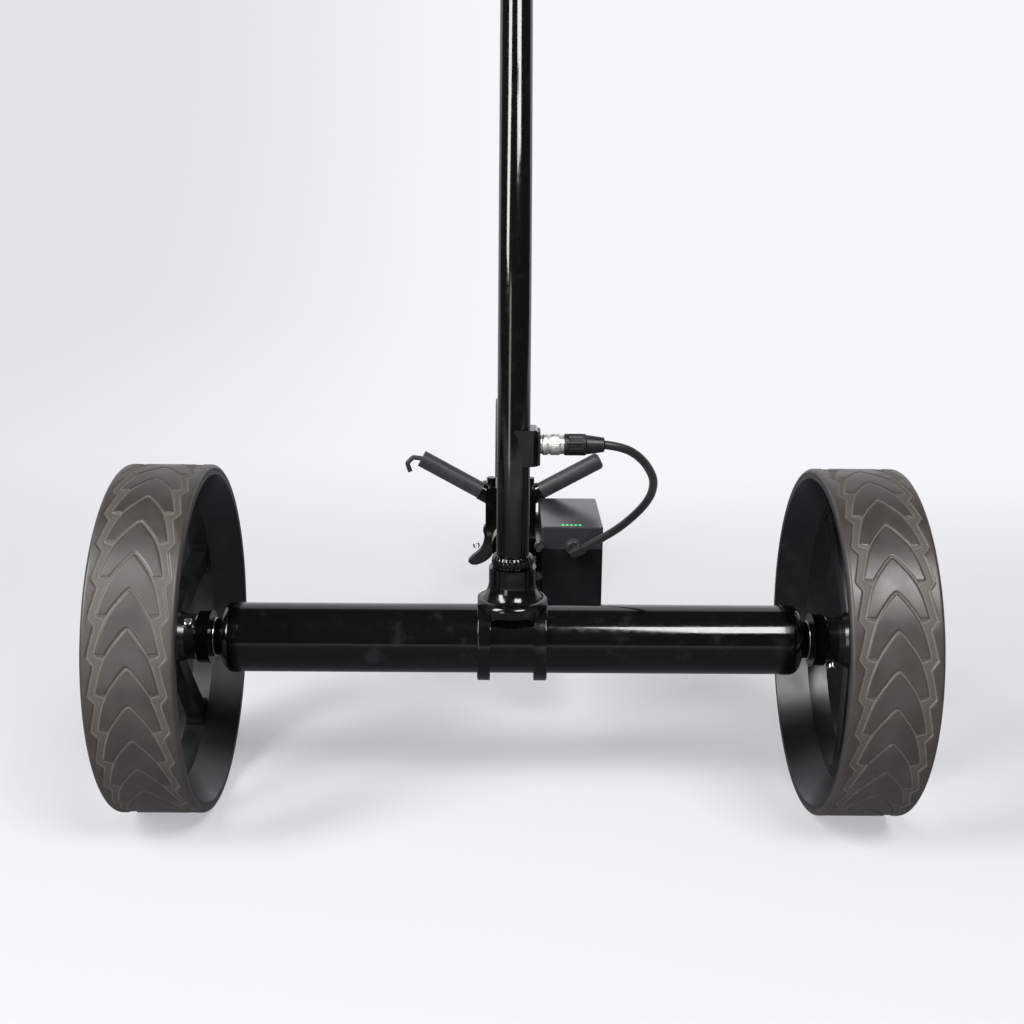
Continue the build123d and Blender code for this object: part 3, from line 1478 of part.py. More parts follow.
def console_shell(start, height, floor):
    """Half of the console: rounded box with one wall closed, in the open part."""
    with Locations((0, console_middle, start)):
        with BuildSketch(Plane(origin=(0, console_middle, start)), mode=Mode.PRIVATE) as outside:
            RectangleRounded(console_width, console_length, console_round)
        with BuildSketch(Plane(origin=(0, console_middle, start + floor)), mode=Mode.PRIVATE) as inside:
            RectangleRounded(
                console_width - 2 * console_wall,
                console_length - 2 * console_wall,
                console_round - console_wall,
            )
    return outside.sketch, inside.sketch


body_shell = console_shell(console_bottom, console_low, console_wall)
with BuildPart() as console_body:
    add(extrude(body_shell[0], amount=console_low, mode=Mode.PRIVATE))
    fillet(console_body.faces().sort_by(Axis.Z)[0].edges(), 2.5)
    add(extrude(body_shell[1], amount=console_low, mode=Mode.PRIVATE), mode=Mode.SUBTRACT)
    cylinder_along_x(-60, 60, crossbar_radius, crossbar_y, handle_z, mode=Mode.SUBTRACT)
    cylinder_along_y(
        crossbar_y,
        console_front + 10.0,
        frame_tube_radius,
        0,
        handle_z,
        mode=Mode.SUBTRACT,
    )
parts_made["console_body"] = console_body

cover_shell = console_shell(handle_z, console_high, 0.0)
button_room = button_radius + sliding_gap
dial_hole = dial_shaft + running_gap
with BuildPart() as console_cover:
    add(extrude(cover_shell[0], amount=console_high, mode=Mode.PRIVATE))
    fillet(console_cover.faces().sort_by(Axis.Z)[-1].edges(), 2.5)
    cover_room = extrude(cover_shell[1], amount=console_high - console_wall, mode=Mode.PRIVATE)
    add(cover_room, mode=Mode.SUBTRACT)
    cylinder_along_x(-60, 60, crossbar_radius, crossbar_y, handle_z, mode=Mode.SUBTRACT)
    cylinder_along_y(
        crossbar_y,
        console_front + 10.0,
        frame_tube_radius,
        0,
        handle_z,
        mode=Mode.SUBTRACT,
    )
    with Locations((-boss_side, button_y, console_top + boss_height)):
        boss_total = boss_height + console_wall + 8.0
        Cylinder(boss_radius, boss_total, align=(Align.CENTER, Align.CENTER, Align.MAX))
        Cylinder(
            boss_hole,
            boss_depth,
            align=(Align.CENTER, Align.CENTER, Align.MAX),
            mode=Mode.SUBTRACT,
        )
    with Locations((button_side, button_y, console_top)):
        Cylinder(button_room, 20.0, mode=Mode.SUBTRACT)
    with Locations((0, dial_y, console_top)):
        Cylinder(dial_hole, 20.0, mode=Mode.SUBTRACT)
parts_made["console_cover"] = console_cover

with BuildPart() as speed_dial:
    with Locations((0, dial_y, console_top + side_gap)):
        Cylinder(dial_radius, dial_height, align=(Align.CENTER, Align.CENTER, Align.MIN))
    fillet(speed_dial.faces().sort_by(Axis.Z)[-1].edges(), 2.0)
    inside_top = console_top - console_wall
    with Locations((0, dial_y, inside_top - 4.0)):
        Cylinder(
            dial_shaft,
            console_wall + 4.0 + side_gap + 1.0,
            align=(Align.CENTER, Align.CENTER, Align.MIN),
        )
    with Locations((0, dial_y, inside_top - side_gap)):
        Cylinder(dial_shaft + 2.5, 2.0, align=(Align.CENTER, Align.CENTER, Align.MAX))
    with Locations((0, dial_y + dial_radius - 4.5, console_top + side_gap + dial_height)):
        Box(2.0, 6.0, 1.2, mode=Mode.SUBTRACT)
parts_made["speed_dial"] = speed_dial

with BuildPart() as power_button:
    with Locations((button_side, button_y, inside_top - 0.2)):
        Cylinder(
            button_radius,
            console_wall + 2.4,
            align=(Align.CENTER, Align.CENTER, Align.MIN),
        )
        Cylinder(button_radius + 1.5, 1.5, align=(Align.CENTER, Align.CENTER, Align.MAX))
    fillet(power_button.faces().sort_by(Axis.Z)[-1].edges(), 0.8)
parts_made["power_button"] = power_button

# ------------------------------------------------------------------------- export
for part_name, built in parts_made.items():
    built.part.label = part_name
    export_step(built.part, "parts/" + part_name + ".step")
print("parts written", len(parts_made))
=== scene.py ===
"""Electric golf trolley: finishes, tyres, cable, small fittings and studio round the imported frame."""

import math

import bmesh
import bpy
import numpy as np
from bpy.props import FloatProperty, IntProperty, PointerProperty, StringProperty
from mathutils import Matrix, Vector


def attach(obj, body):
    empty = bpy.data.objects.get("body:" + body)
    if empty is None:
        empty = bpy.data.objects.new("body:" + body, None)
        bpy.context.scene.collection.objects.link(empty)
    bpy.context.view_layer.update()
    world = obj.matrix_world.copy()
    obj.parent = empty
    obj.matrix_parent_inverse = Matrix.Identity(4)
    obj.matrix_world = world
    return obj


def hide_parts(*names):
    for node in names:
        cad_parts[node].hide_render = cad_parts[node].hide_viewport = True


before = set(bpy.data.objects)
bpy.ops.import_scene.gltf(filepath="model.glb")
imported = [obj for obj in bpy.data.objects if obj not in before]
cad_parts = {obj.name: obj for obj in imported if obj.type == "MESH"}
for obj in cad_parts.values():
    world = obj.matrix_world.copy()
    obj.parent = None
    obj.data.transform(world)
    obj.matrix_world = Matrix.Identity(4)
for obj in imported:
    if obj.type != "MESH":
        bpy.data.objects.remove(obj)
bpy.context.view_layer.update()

bl_info = {
    "name": "Golf trolley dressing",
    "version": (1, 0, 0),
    "blender": (4, 5, 0),
    "location": "3D View > Sidebar > Trolley",
    "description": "Finishes, tyres, cable and fittings of an electric golf trolley",
    "category": "Object",
}

# one millimetre in metres: profiles and textures are written in millimetres, meshes are in metres
MM = 0.001


# ------------------------------------------------------------------ sizes and colours
class TrolleyTyreSizes(bpy.types.PropertyGroup):
    """Sizes of the drive tyres and their tread."""

    chevrons: IntProperty(
        name="Chevrons", description="Chevron blocks round one tyre", default=31, min=12, max=60
    )
    rows: IntProperty(
        name="Rows per chevron", description="Mesh rows in one chevron", default=30, min=8, max=60
    )
    groove_depth: FloatProperty(
        name="Groove depth", description="Depth of the tread lines", default=0.0009, unit="LENGTH"
    )
    groove_width: FloatProperty(
        name="Groove width", description="Width of the tread lines", default=0.0014, unit="LENGTH"
    )


class TrolleyFinishes(bpy.types.PropertyGroup):
    """Colours of the trolley, as sRGB hex values."""

    gloss_black: StringProperty(name="Powder coat", description="Tubes", default="050505")
    matte_black: StringProperty(name="Nylon", description="Caps, spokes, console", default="0B0B0C")
    rim_black: StringProperty(name="Rim", description="Rims", default="0B0B0C")
    tyre: StringProperty(name="Tyre rubber", description="Tread blocks", default="322D2A")
    tyre_line: StringProperty(name="Tread lines", description="Dusty tread lines", default="56524A")
    grey_rubber: StringProperty(name="Grey rubber", description="Sleeves and pads", default="1C1D1F")
    cable: StringProperty(name="Cable jacket", description="Battery cable", default="0C0C0D")
    battery: StringProperty(name="Battery case", description="Case of the battery", default="08090A")
    # painted sheen: this paler grey stands in for the shine of the lid's top face
    battery_lid: StringProperty(name="Battery lid", description="Lid of the battery", default="26272B")
    light: StringProperty(name="Charge lights", description="Lit indicators", default="35D07A")
    floor: StringProperty(name="Floor", description="Paper of the floor", default="CBCBCE")
    backdrop: StringProperty(name="Backdrop", description="Paper further back", default="F8F7FC")


# ------------------------------------------------------------------------ node helpers
# settings that many nodes share: a smooth step, a product, and a mix of two colours with its colour output
SOFT = {"interpolation_type": "SMOOTHSTEP"}
MULTIPLY = {"operation": "MULTIPLY"}
COLOUR = {"data_type": "RGBA", "out": 2}


def linear(code):
    """Linear RGBA of an sRGB hex value, by the sRGB transfer curve for each channel."""
    channels = [int(code[i : i + 2], 16) / 255 for i in (0, 2, 4)]
    return [c / 12.92 if c <= 0.04045 else ((c + 0.055) / 1.055) ** 2.4 for c in channels] + [1.0]


def put(tree, kind, *inputs, out=0, **values):
    """Adds one shader node and gives one of its outputs, or None where it has none.

    Inputs fill its sockets in order. A named value goes to the node's own property of that name, or else to
    its socket of that name: underscores stand for spaces, and iN is socket number N. A value that is another
    node's output is linked, and a hex value becomes a colour."""
    item = tree.nodes.new("ShaderNode" + kind)
    sockets = dict(enumerate(inputs))
    for name, value in values.items():
        if name[0] == "i" and name[1:].isdigit():
            sockets[int(name[1:])] = value
        elif hasattr(item, name):
            setattr(item, name, value)
        else:
            sockets[name.replace("_", " ")] = value
    for name, value in sockets.items():
        if isinstance(value, bpy.types.NodeSocket):
            tree.links.new(value, item.inputs[name])
        else:
            item.inputs[name].default_value = linear(value) if isinstance(value, str) else value
    return item.outputs[out] if item.outputs else None


def start(name):
    """New material: itself, its empty node tree and its object coordinates."""
    material = bpy.data.materials.new(name)
    material.use_nodes = True
    tree = material.node_tree
    tree.nodes.clear()
    return material, tree, put(tree, "TexCoord", out="Object")


# --------------------------------------------------------------------------- materials
# A noise's scale is one over the size of its blobs, which is written in millimetres.


def powder_coat(name, code, wave=5.0, depth=0.02, roughness=0.10):
    """Gloss black powder coat on aluminium tube: cured paint, so a deep gloss with a faint orange peel.

    Dust lies in blobs of 18 mm and wear in blobs of 6 mm. The peel's waves are wave millimetres across and
    depth millimetres deep."""
    material, tree, where = start(name)
    cloud = put(tree, "TexNoise", Vector=where, Scale=1 / (18.0 * MM), Detail=4.0, Roughness=0.55)
    dust = put(tree, "MapRange", cloud, 0.55, 0.8, 0.0, 1.0, **SOFT)
    colour = put(tree, "Mix", put(tree, "Math", dust, 0.05, **MULTIPLY), i6=code, i7="6A6A6C", **COLOUR)
    wear = put(tree, "TexNoise", Vector=where, Scale=1 / (6.0 * MM), Detail=3.0, Roughness=0.55)
    gloss = put(tree, "MapRange", wear, 0.3, 0.75, roughness * 0.8, roughness * 1.5, **SOFT)
    peel = put(tree, "TexNoise", Vector=where, Scale=1 / (wave * MM), Detail=1.5, Roughness=0.55)
    relief = put(tree, "Bump", Height=peel, Strength=1.0, Distance=depth * MM)
    shader = put(
        tree,
        "BsdfPrincipled",
        Base_Color=colour,
        Roughness=gloss,
        Normal=relief,
        IOR=1.5,
        Coat_Weight=0.05,
        Coat_Roughness=0.03,
        Coat_IOR=1.5,
    )
    put(tree, "OutputMaterial", Surface=shader)
    return material


def moulded(name, code, roughness=0.5, grain=0.7, depth=0.03, light="5A5B5E", scuff=0.10):
    """Spark-eroded moulding of filled nylon or ABS: an even fine grain, dull, slightly paler where handled.

    Handling shows in clouds of 22 mm. The grains are grain millimetres across and depth millimetres deep."""
    material, tree, where = start(name)
    fine = put(tree, "TexNoise", Vector=where, Scale=1 / (grain * MM), Detail=2.0, Roughness=0.55)
    cloud = put(tree, "TexNoise", Vector=where, Scale=1 / (22.0 * MM), Detail=4.0, Roughness=0.55)
    handled = put(tree, "MapRange", cloud, 0.45, 0.75, 0.0, 1.0, **SOFT)
    colour = put(tree, "Mix", put(tree, "Math", handled, scuff, **MULTIPLY), i6=code, i7=light, **COLOUR)
    gloss = put(tree, "MapRange", cloud, 0.3, 0.7, roughness * 0.88, roughness * 1.12, **SOFT)
    relief = put(tree, "Bump", Height=fine, Strength=1.0, Distance=depth * MM)
    shader = put(tree, "BsdfPrincipled", Base_Color=colour, Roughness=gloss, Normal=relief, IOR=1.5)
    put(tree, "OutputMaterial", Surface=shader)
    return material


def rubber(name, code, pale, roughness=0.7, grain=1.1, depth=0.05):
    """Solid moulded rubber: dull, faintly mottled, with dust in its pores.

    The mottle is in blobs of 14 mm. The pores are grain millimetres across and depth millimetres deep."""
    material, tree, where = start(name)
    mottle = put(tree, "TexNoise", Vector=where, Scale=1 / (14.0 * MM), Detail=5.0, Roughness=0.6)
    pores = put(tree, "TexNoise", Vector=where, Scale=1 / (grain * MM), Detail=2.0, Roughness=0.55)
    share = put(tree, "Math", put(tree, "MapRange", mottle, 0.4, 0.75, 0.0, 1.0, **SOFT), 0.35, **MULTIPLY)
    shader = put(
        tree,
        "BsdfPrincipled",
        Base_Color=put(tree, "Mix", share, i6=code, i7=pale, **COLOUR),
        Roughness=put(tree, "MapRange", mottle, 0.3, 0.7, roughness * 0.9, roughness * 1.1, **SOFT),
        Normal=put(tree, "Bump", Height=pores, Strength=1.0, Distance=depth * MM),
        IOR=1.5,
        Sheen_Weight=0.08,
        Sheen_Roughness=0.6,
    )
    put(tree, "OutputMaterial", Surface=shader)
    return material


def tread_rubber(name, code, line):
    """Foam-filled tyre of moulded rubber: warm dark grey blocks with a waxy sheen, and thin lines that hold
    dry dust.

    It reads the piece's own groove distance in millimetres, so the lines stay crisp; the distance is
    negative in the sunk band, which is duller and carries a film of dust. The blocks vary in blobs of 20 mm
    and 55 mm, and the dust in flecks of 1.4 mm."""
    material, tree, where = start(name)
    distance = put(tree, "Attribute", attribute_name="groove_mm", out="Fac")
    away = put(tree, "Math", distance, operation="ABSOLUTE")
    in_line = put(tree, "MapRange", away, 0.35, 0.95, 1.0, 0.0, **SOFT)
    sunk = put(tree, "MapRange", distance, -0.6, 0.2, 1.0, 0.0, **SOFT)
    mottle = put(tree, "TexNoise", Vector=where, Scale=1 / (20.0 * MM), Detail=5.0, Roughness=0.6)
    fleck = put(tree, "TexNoise", Vector=where, Scale=1 / (1.4 * MM), Detail=3.0, Roughness=0.55)
    streak = put(tree, "TexNoise", Vector=where, Scale=1 / (55.0 * MM), Detail=2.0, Roughness=0.55)
    mottled = put(tree, "MapRange", mottle, 0.35, 0.7, 0.0, 0.6, **SOFT)
    block = put(tree, "Mix", mottled, i6=code, i7="3A3532", **COLOUR)
    streaked = put(tree, "MapRange", streak, 0.45, 0.7, 0.0, 0.35, **SOFT)
    block = put(tree, "Mix", streaked, i6=block, i7="433E3B", **COLOUR)
    filmed = put(tree, "MapRange", fleck, 0.35, 0.65, 0.25, 0.75, **SOFT)
    film = put(tree, "Mix", filmed, i6="3E3A33", i7=line, **COLOUR)
    block = put(tree, "Mix", put(tree, "Math", sunk, 0.45, **MULTIPLY), i6=block, i7=film, **COLOUR)
    flecked = put(tree, "MapRange", fleck, 0.35, 0.65, 0.0, 0.5, **SOFT)
    dusty = put(tree, "Mix", flecked, i6=line, i7=code, **COLOUR)
    gloss = put(tree, "MapRange", mottle, 0.3, 0.7, 0.34, 0.44, **SOFT)
    dusted = put(tree, "Math", put(tree, "Math", sunk, in_line, operation="MAXIMUM"), 0.2, **MULTIPLY)
    edge = put(tree, "MapRange", away, 0.4, 1.3, 0.0, 1.0, **SOFT)
    rim = put(tree, "Bump", Height=edge, Strength=0.6, Distance=0.4 * MM)
    shader = put(
        tree,
        "BsdfPrincipled",
        Base_Color=put(tree, "Mix", in_line, i6=block, i7=dusty, **COLOUR),
        Roughness=put(tree, "Math", gloss, dusted, operation="ADD"),
        Normal=put(tree, "Bump", Height=fleck, Strength=1.0, Distance=0.04 * MM, Normal=rim),
        IOR=1.5,
    )
    put(tree, "OutputMaterial", Surface=shader)
    return material


def plated(name, code, roughness=0.16):
    """Nickel or chrome plate on turned brass or steel: bright, slightly clouded where it is handled.

    The clouds are 4 mm across, and the turning marks under them 0.8 mm."""
    material, tree, where = start(name)
    cloud = put(tree, "TexNoise", Vector=where, Scale=1 / (4.0 * MM), Detail=3.0, Roughness=0.55)
    marks = put(tree, "TexNoise", Vector=where, Scale=1 / (0.8 * MM), Detail=2.0, Roughness=0.55)
    clouded = put(tree, "MapRange", cloud, 0.4, 0.8, 0.0, 0.25, **SOFT)
    shader = put(
        tree,
        "BsdfPrincipled",
        Base_Color=put(tree, "Mix", clouded, i6=code, i7="8E8B86", **COLOUR),
        Roughness=put(tree, "MapRange", cloud, 0.3, 0.7, roughness * 0.7, roughness * 1.4, **SOFT),
        Normal=put(tree, "Bump", Height=marks, Strength=1.0, Distance=0.004 * MM),
        Metallic=1.0,
    )
    put(tree, "OutputMaterial", Surface=shader)
    return material


def window_glass(name):
    """Polished smoked acrylic window of a display: near black, clear gloss, faint fingerprints of 9 mm."""
    material, tree, where = start(name)
    prints = put(
        tree, "TexNoise", Vector=where, Scale=1 / (9.0 * MM), Detail=4.0, Roughness=0.6, Distortion=1.5
    )
    smoke = put(tree, "TexNoise", Vector=where, Scale=1 / (30.0 * MM), Detail=2.0, Roughness=0.55)
    shade = put(tree, "MapRange", smoke, 0.3, 0.7, 0.0, 1.0, **SOFT)
    shader = put(
        tree,
        "BsdfPrincipled",
        Base_Color=put(tree, "Mix", shade, i6="0A0D10", i7="11161A", **COLOUR),
        Roughness=put(tree, "MapRange", prints, 0.45, 0.75, 0.05, 0.22, **SOFT),
        IOR=1.49,
        Coat_Weight=0.2,
        Coat_Roughness=0.02,
    )
    put(tree, "OutputMaterial", Surface=shader)
    return material


def print_white(name):
    """Pad-printed white ink on nylon: flat, thin, worn a little at its edges in specks of 1.6 mm."""
    material, tree, where = start(name)
    specks = put(tree, "TexNoise", Vector=where, Scale=1 / (1.6 * MM), Detail=4.0, Roughness=0.7)
    worn = put(tree, "MapRange", specks, 0.55, 0.8, 0.0, 0.7, **SOFT)
    colour = put(tree, "Mix", worn, i6="D9D9D4", i7="6C6C6A", **COLOUR)
    shader = put(tree, "BsdfPrincipled", Base_Color=colour, Roughness=0.55, IOR=1.5)
    put(tree, "OutputMaterial", Surface=shader)
    return material


def lit_green(name, code):
    """Clear green indicator lens over a lit diode."""
    material, tree, _ = start(name)
    shader = put(
        tree,
        "BsdfPrincipled",
        Base_Color=code,
        Emission_Color=code,
        Emission_Strength=1.2,
        Roughness=0.25,
        IOR=1.49,
    )
    put(tree, "OutputMaterial", Surface=shader)
    return material


def backdrop_paper(colours):
    """Matt backdrop paper that lights nothing but is lit up to the eye and to reflections.

    To the eye it glows in part round the trolley, and in full further back and from 4 m out at the sides and
    towards the eye, with painted shade that makes it a little greyer on the left. To reflections it is a
    grey floor with painted light and shade, paler towards the eye and darker round the trolley, that turns
    into a white wall further back."""
    material, tree, where = start("matt_backdrop_paper_and_painted_shading")
    paper = put(tree, "BsdfPrincipled", Base_Color=colours.floor, Roughness=0.9, IOR=1.3)
    rays = put(tree, "LightPath").node.outputs
    place = put(tree, "SeparateXYZ", where).node.outputs
    back = put(tree, "MapRange", place["Y"], -0.1, 1.2, 0.42, 1.0, **SOFT)
    wall = put(tree, "MapRange", place["Y"], 0.4, 2.2, 1.0, 0.0, **SOFT)
    # painted shade: the glowing backdrop turns greyer towards the left
    side = put(tree, "MapRange", place["X"], -1.6, 0.3, 0.0, 1.0, **SOFT)
    # distance from the trolley's middle to the side and towards the eye
    nearer = put(tree, "Math", place["Y"], 0.0, operation="MINIMUM")
    flat = put(tree, "CombineXYZ", place["X"], nearer)
    away = put(tree, "VectorMath", flat, operation="LENGTH", out="Value")
    far = put(tree, "MapRange", away, 2.4, 4.0, 0.0, 1.0, **SOFT)
    back = put(tree, "Math", back, far, operation="MAXIMUM")
    side = put(tree, "Math", side, far, operation="MAXIMUM")
    seen = put(tree, "Math", rays["Is Camera Ray"], back, **MULTIPLY)
    share = put(tree, "Math", seen, rays["Is Glossy Ray"], operation="MAXIMUM")
    # painted shade: E2E2E8 is the greyer backdrop on the left
    colour = put(tree, "Mix", side, i6="E2E2E8", i7=colours.backdrop, **COLOUR)
    # painted light and shade in reflections: glossy rays see the floor paler towards the eye and darker
    # round the trolley, in place of its real lighting
    painted_shade_share = put(tree, "MapRange", place["Y"], -2.2, -0.5, 0.0, 1.0, **SOFT)
    floor = put(tree, "Mix", painted_shade_share, i6="D4D4D8", i7="74747A", **COLOUR)
    mirrored = put(tree, "Math", rays["Is Glossy Ray"], wall, **MULTIPLY)
    colour = put(tree, "Mix", mirrored, i6=colour, i7=floor, **COLOUR)
    glow = put(tree, "Emission", Color=colour)
    put(tree, "OutputMaterial", Surface=put(tree, "MixShader", share, paper, glow))
    return material


# ------------------------------------------------------------------------ mesh helpers
def grid_quads(rows, columns, close_rows=False, close_columns=False):
    """Quads of a grid of points stored row by row; a closed direction joins its last line to its first."""
    i = np.arange(rows if close_rows else rows - 1)[:, None]
    j = np.arange(columns if close_columns else columns - 1)[None, :]
    a = i * columns + j
    b = i * columns + (j + 1) % columns
    c = ((i + 1) % rows) * columns + (j + 1) % columns
    d = ((i + 1) % rows) * columns + j
    return np.stack([a, b, c, d], axis=-1).reshape(-1, 4)


def new_piece(name, points, quads, body, material, smooth=True, merge=0.0, flip=False):
    """Mesh object from arrays of points and faces, riding on a body; merge closes poles and seams."""
    mesh = bpy.data.meshes.new(name)
    faces = [tuple(face[::-1]) if flip else tuple(face) for face in np.asarray(quads).tolist()]
    mesh.from_pydata(np.asarray(points).reshape(-1, 3).tolist(), [], faces)
    if merge:
        work = bmesh.new()
        work.from_mesh(mesh)
        bmesh.ops.remove_doubles(work, verts=work.verts, dist=merge)
        bmesh.ops.dissolve_degenerate(work, edges=work.edges, dist=1e-7)
        bmesh.ops.recalc_face_normals(work, faces=work.faces)
        work.to_mesh(mesh)
        work.free()
    mesh.polygons.foreach_set("use_smooth", [smooth] * len(mesh.polygons))
    mesh.materials.append(material)
    piece = bpy.data.objects.new(name, mesh)
    bpy.context.scene.collection.objects.link(piece)
    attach(piece, body)
    return piece


def dense(profile, step):
    """Profile with points added evenly along each side, so that none are further apart than a step."""
    points = [profile[0]]
    for a, b in zip(profile, profile[1:]):
        parts = max(1, math.ceil(math.dist(a, b) / step))
        points += [tuple(np.array(a) + (np.array(b) - np.array(a)) * k / parts) for k in range(1, parts + 1)]
    return np.array(points)


def turned(profile, centre, steps=96, axis="X", relief=None):
    """Points in metres of a profile of (along, radius) in millimetres, turned about X or Z through centre.

    Each ring is along on the axis, and radius times cosine and sine on the next two directions in cyclic
    order. relief(along, turn) in millimetres is added to every radius but the poles."""
    profile = np.asarray(profile, float)
    turn = np.linspace(0, 2 * math.pi, steps, endpoint=False)[None]
    along = np.repeat(profile[:, :1], steps, axis=1)
    radius = np.repeat(profile[:, 1:2], steps, axis=1)
    if relief is not None:
        radius = np.where(radius > 0, radius + relief(along, turn + 0 * along), 0)
    local = np.stack([along, radius * np.cos(turn), radius * np.sin(turn)], axis=-1)
    if axis == "Z":
        local = local[..., [1, 2, 0]]
    return local * MM + np.asarray(centre), grid_quads(len(profile), steps, close_columns=True)


def window(value, low, high, soft):
    """One between two limits, nought outside them, with soft straight flanks."""
    return np.clip((value - low) / soft, 0, 1) * np.clip((high - value) / soft, 0, 1)


def plate(centre, across, along, height, turn=0.0, power=8.0, steps=64):
    """Low plate on a level face: a superellipse of half widths across and along, raised by height, in mm.

    The outline is where |x/a| and |y/b| to the power add up to one. Rings of it, each with its inset and
    its rise, give the foot, the wall, the rounded edge and the top."""
    t = np.linspace(0, 2 * math.pi, steps, endpoint=False)
    c, d = np.cos(t), np.sin(t)
    reach = (np.abs(c) ** power + np.abs(d) ** power) ** (-1 / power)
    rings = []
    for inset, rise in ((1.0, -0.2), (1.0, 0.0), (1.0, height * 0.7), (0.985, height), (0.0, height)):
        x, y = across * reach * c * inset, along * reach * d * inset
        turned_x = x * math.cos(turn) - y * math.sin(turn)
        turned_y = x * math.sin(turn) + y * math.cos(turn)
        rings.append(np.stack([turned_x, turned_y, np.full_like(x, rise)], axis=-1))
    rings.insert(0, rings[0] * np.array([0, 0, 1]))
    return np.stack(rings) * MM + np.asarray(centre), grid_quads(len(rings), steps, close_columns=True)


# ----------------------------------------------------------- places, in metres in the frame
# middles of the drive axle and of the front axle, and the inner faces of the drive wheels
AXLE = np.array([0.0, -0.2345, 0.150])
FRONT = np.array([0.0, 0.4155, 0.125])
FACE = 0.2588
# where the plug's line meets the upright's plane, and the foot of the collar on the bracket's neck
PLUG = np.array([0.0, -0.2303, 0.3223])
COLLAR = np.array([0.0, -0.2345, 0.2160])
# handle bar, foot of the dial, top of the console under it, and the ring on the rest's clamp lever
BAR = np.array([0.0, -0.5245, 0.99625])
DIAL = np.array([0.0, -0.4625, 1.01855])
COVER = np.array([0.0, -0.4625, 1.01825])
LEVER_RING = np.array([-0.0355, 0.0100, 0.1623])
SIDES = (("left", -1), ("right", 1))
# the battery cable's points, from the plug to the gland, and its radius
CABLE_RADIUS = 0.00375
CABLE = [
    (0.0766, -0.2303, 0.3223),
    (0.0925, -0.2293, 0.3204),
    (0.1080, -0.2205, 0.3100),
    (0.1185, -0.2060, 0.2955),
    (0.1250, -0.1885, 0.2800),
    (0.1240, -0.1685, 0.2600),
    (0.1120, -0.1465, 0.2370),
    (0.0920, -0.1275, 0.2140),
    (0.0680, -0.1150, 0.1970),
]

# outline of a tread block in millimetres from its point, (across, down): a pointed arch that runs down
# into the block's side and its foot; and the stepped edge of the shoulder
BLOCK = np.array(
    [(0.0, 0.6), (1.2, 0.9), (4.9, 5.0), (8.6, 10.0), (11.8, 14.4), (14.8, 19.2), (17.1, 23.8), (19.6, 30.4)]
    + [(21.6, 37.0), (23.2, 43.5), (24.4, 48.6), (24.9, 51.0), (24.2, 52.4), (18.4, 54.6)]
)
BLOCK_SIDE = BLOCK[6:12]
SHOULDER = np.array([(25.0, 29.5), (30.2, 52.9), (25.0, 59.9)])
# groove distance in millimetres that stands for no groove near
FAR = 50.0


def tread_lines():
    """Right half of one block's outline and of its shoulder step, as segments of (across, down)."""
    return [np.stack([line[:-1], line[1:]], axis=1) for line in (BLOCK, SHOULDER)]


def tread_distance(across, down, pitch):
    """Distance in millimetres from each point to the nearest tread line, negative in the sunk band between
    the blocks' sides and the shoulder steps.

    For a segment from a to b it is the length of p - a - (b - a) times the clamped projection. Both outlines
    repeat every pitch, so the band's two edges are looked up at the depth below their own first corner."""
    across = np.abs(across)
    best = np.full(np.broadcast(across, down).shape, FAR)
    for pieces in tread_lines():
        for (ax, ay), (bx, by) in pieces:
            # a block is longer than one pitch, so those above this one and the next are measured too
            for shift in range(-4, 2):
                px, py = across - ax, down - (ay + shift * pitch)
                dx, dy = bx - ax, by - ay
                t = np.clip((px * dx + py * dy) / (dx * dx + dy * dy), 0, 1)
                best = np.minimum(best, np.hypot(px - t * dx, py - t * dy))
    edges = []
    for line in (BLOCK_SIDE, SHOULDER):
        first = line[-1, 1] - pitch
        edges.append(np.interp(first + (down - first) % pitch, line[:, 1], line[:, 0]))
    return np.where((across > edges[0]) & (across < edges[1]), -best, best)


def tyre_surface(side, sizes, width=0.0725, radius=0.150, phase=0.0):
    """One drive tyre as a closed grid of (round, across) points.

    Round the wheel the angle grows from the rear upwards. Across, the section runs over the inner sidewall,
    the shoulder arc of 3 mm, the tread, the outer shoulder and sidewall, and back along the rim seat. On the
    tread the radius drops by the groove depth where the distance to a line is under half its width."""
    tread = np.linspace(-33.0, 33.0, 67)
    half, r, bend = width / MM / 2, radius / MM, 3
    wall, seat, seat_inner, seat_outer = 145.0, 130.5, -8.25, 9.75
    arc = np.radians(np.linspace(0, 90, 5))[:-1]
    shoulder = np.stack([half - bend + bend * np.cos(arc), r - bend + bend * np.sin(arc)], axis=1)
    section = np.concatenate(
        [
            [(seat_inner, seat), (-half, wall)],
            shoulder * np.array([-1, 1]),
            [(-half + bend, r)],
            np.stack([tread, np.full_like(tread, r)], axis=1),
            [(half - bend, r)],
            shoulder[::-1],
            [(half, wall), (seat_outer, seat)],
        ]
    )
    rows = sizes.chevrons * sizes.rows
    angle = np.arange(rows) * 2 * math.pi / rows
    pitch = 2 * math.pi * r / sizes.chevrons
    one = np.arange(sizes.rows)[:, None] * pitch / sizes.rows
    spacing = tread_distance(section[None, :, 0], -one, pitch)
    on_tread = np.abs(section[:, 1] - r) < 0.01
    spacing = np.where(on_tread[None], spacing, FAR)
    spacing = np.tile(spacing, (sizes.chevrons, 1))
    reach = sizes.groove_width / MM / 2
    drop = 1 - np.clip((spacing - reach * 0.5) / (reach * 1.1), 0, 1)
    drop = drop * drop * (3 - 2 * drop) * sizes.groove_depth / MM
    rr = section[None, :, 1] - drop
    turn = (angle + phase)[:, None]
    x = side * (FACE / MM + half + section[None, :, 0]) + 0 * turn
    y = AXLE[1] / MM - rr * np.cos(turn)
    z = AXLE[2] / MM + rr * np.sin(turn)
    points = np.stack([x, y, z], axis=-1) * MM
    return points, grid_quads(rows, len(section), True, True), spacing.reshape(-1)


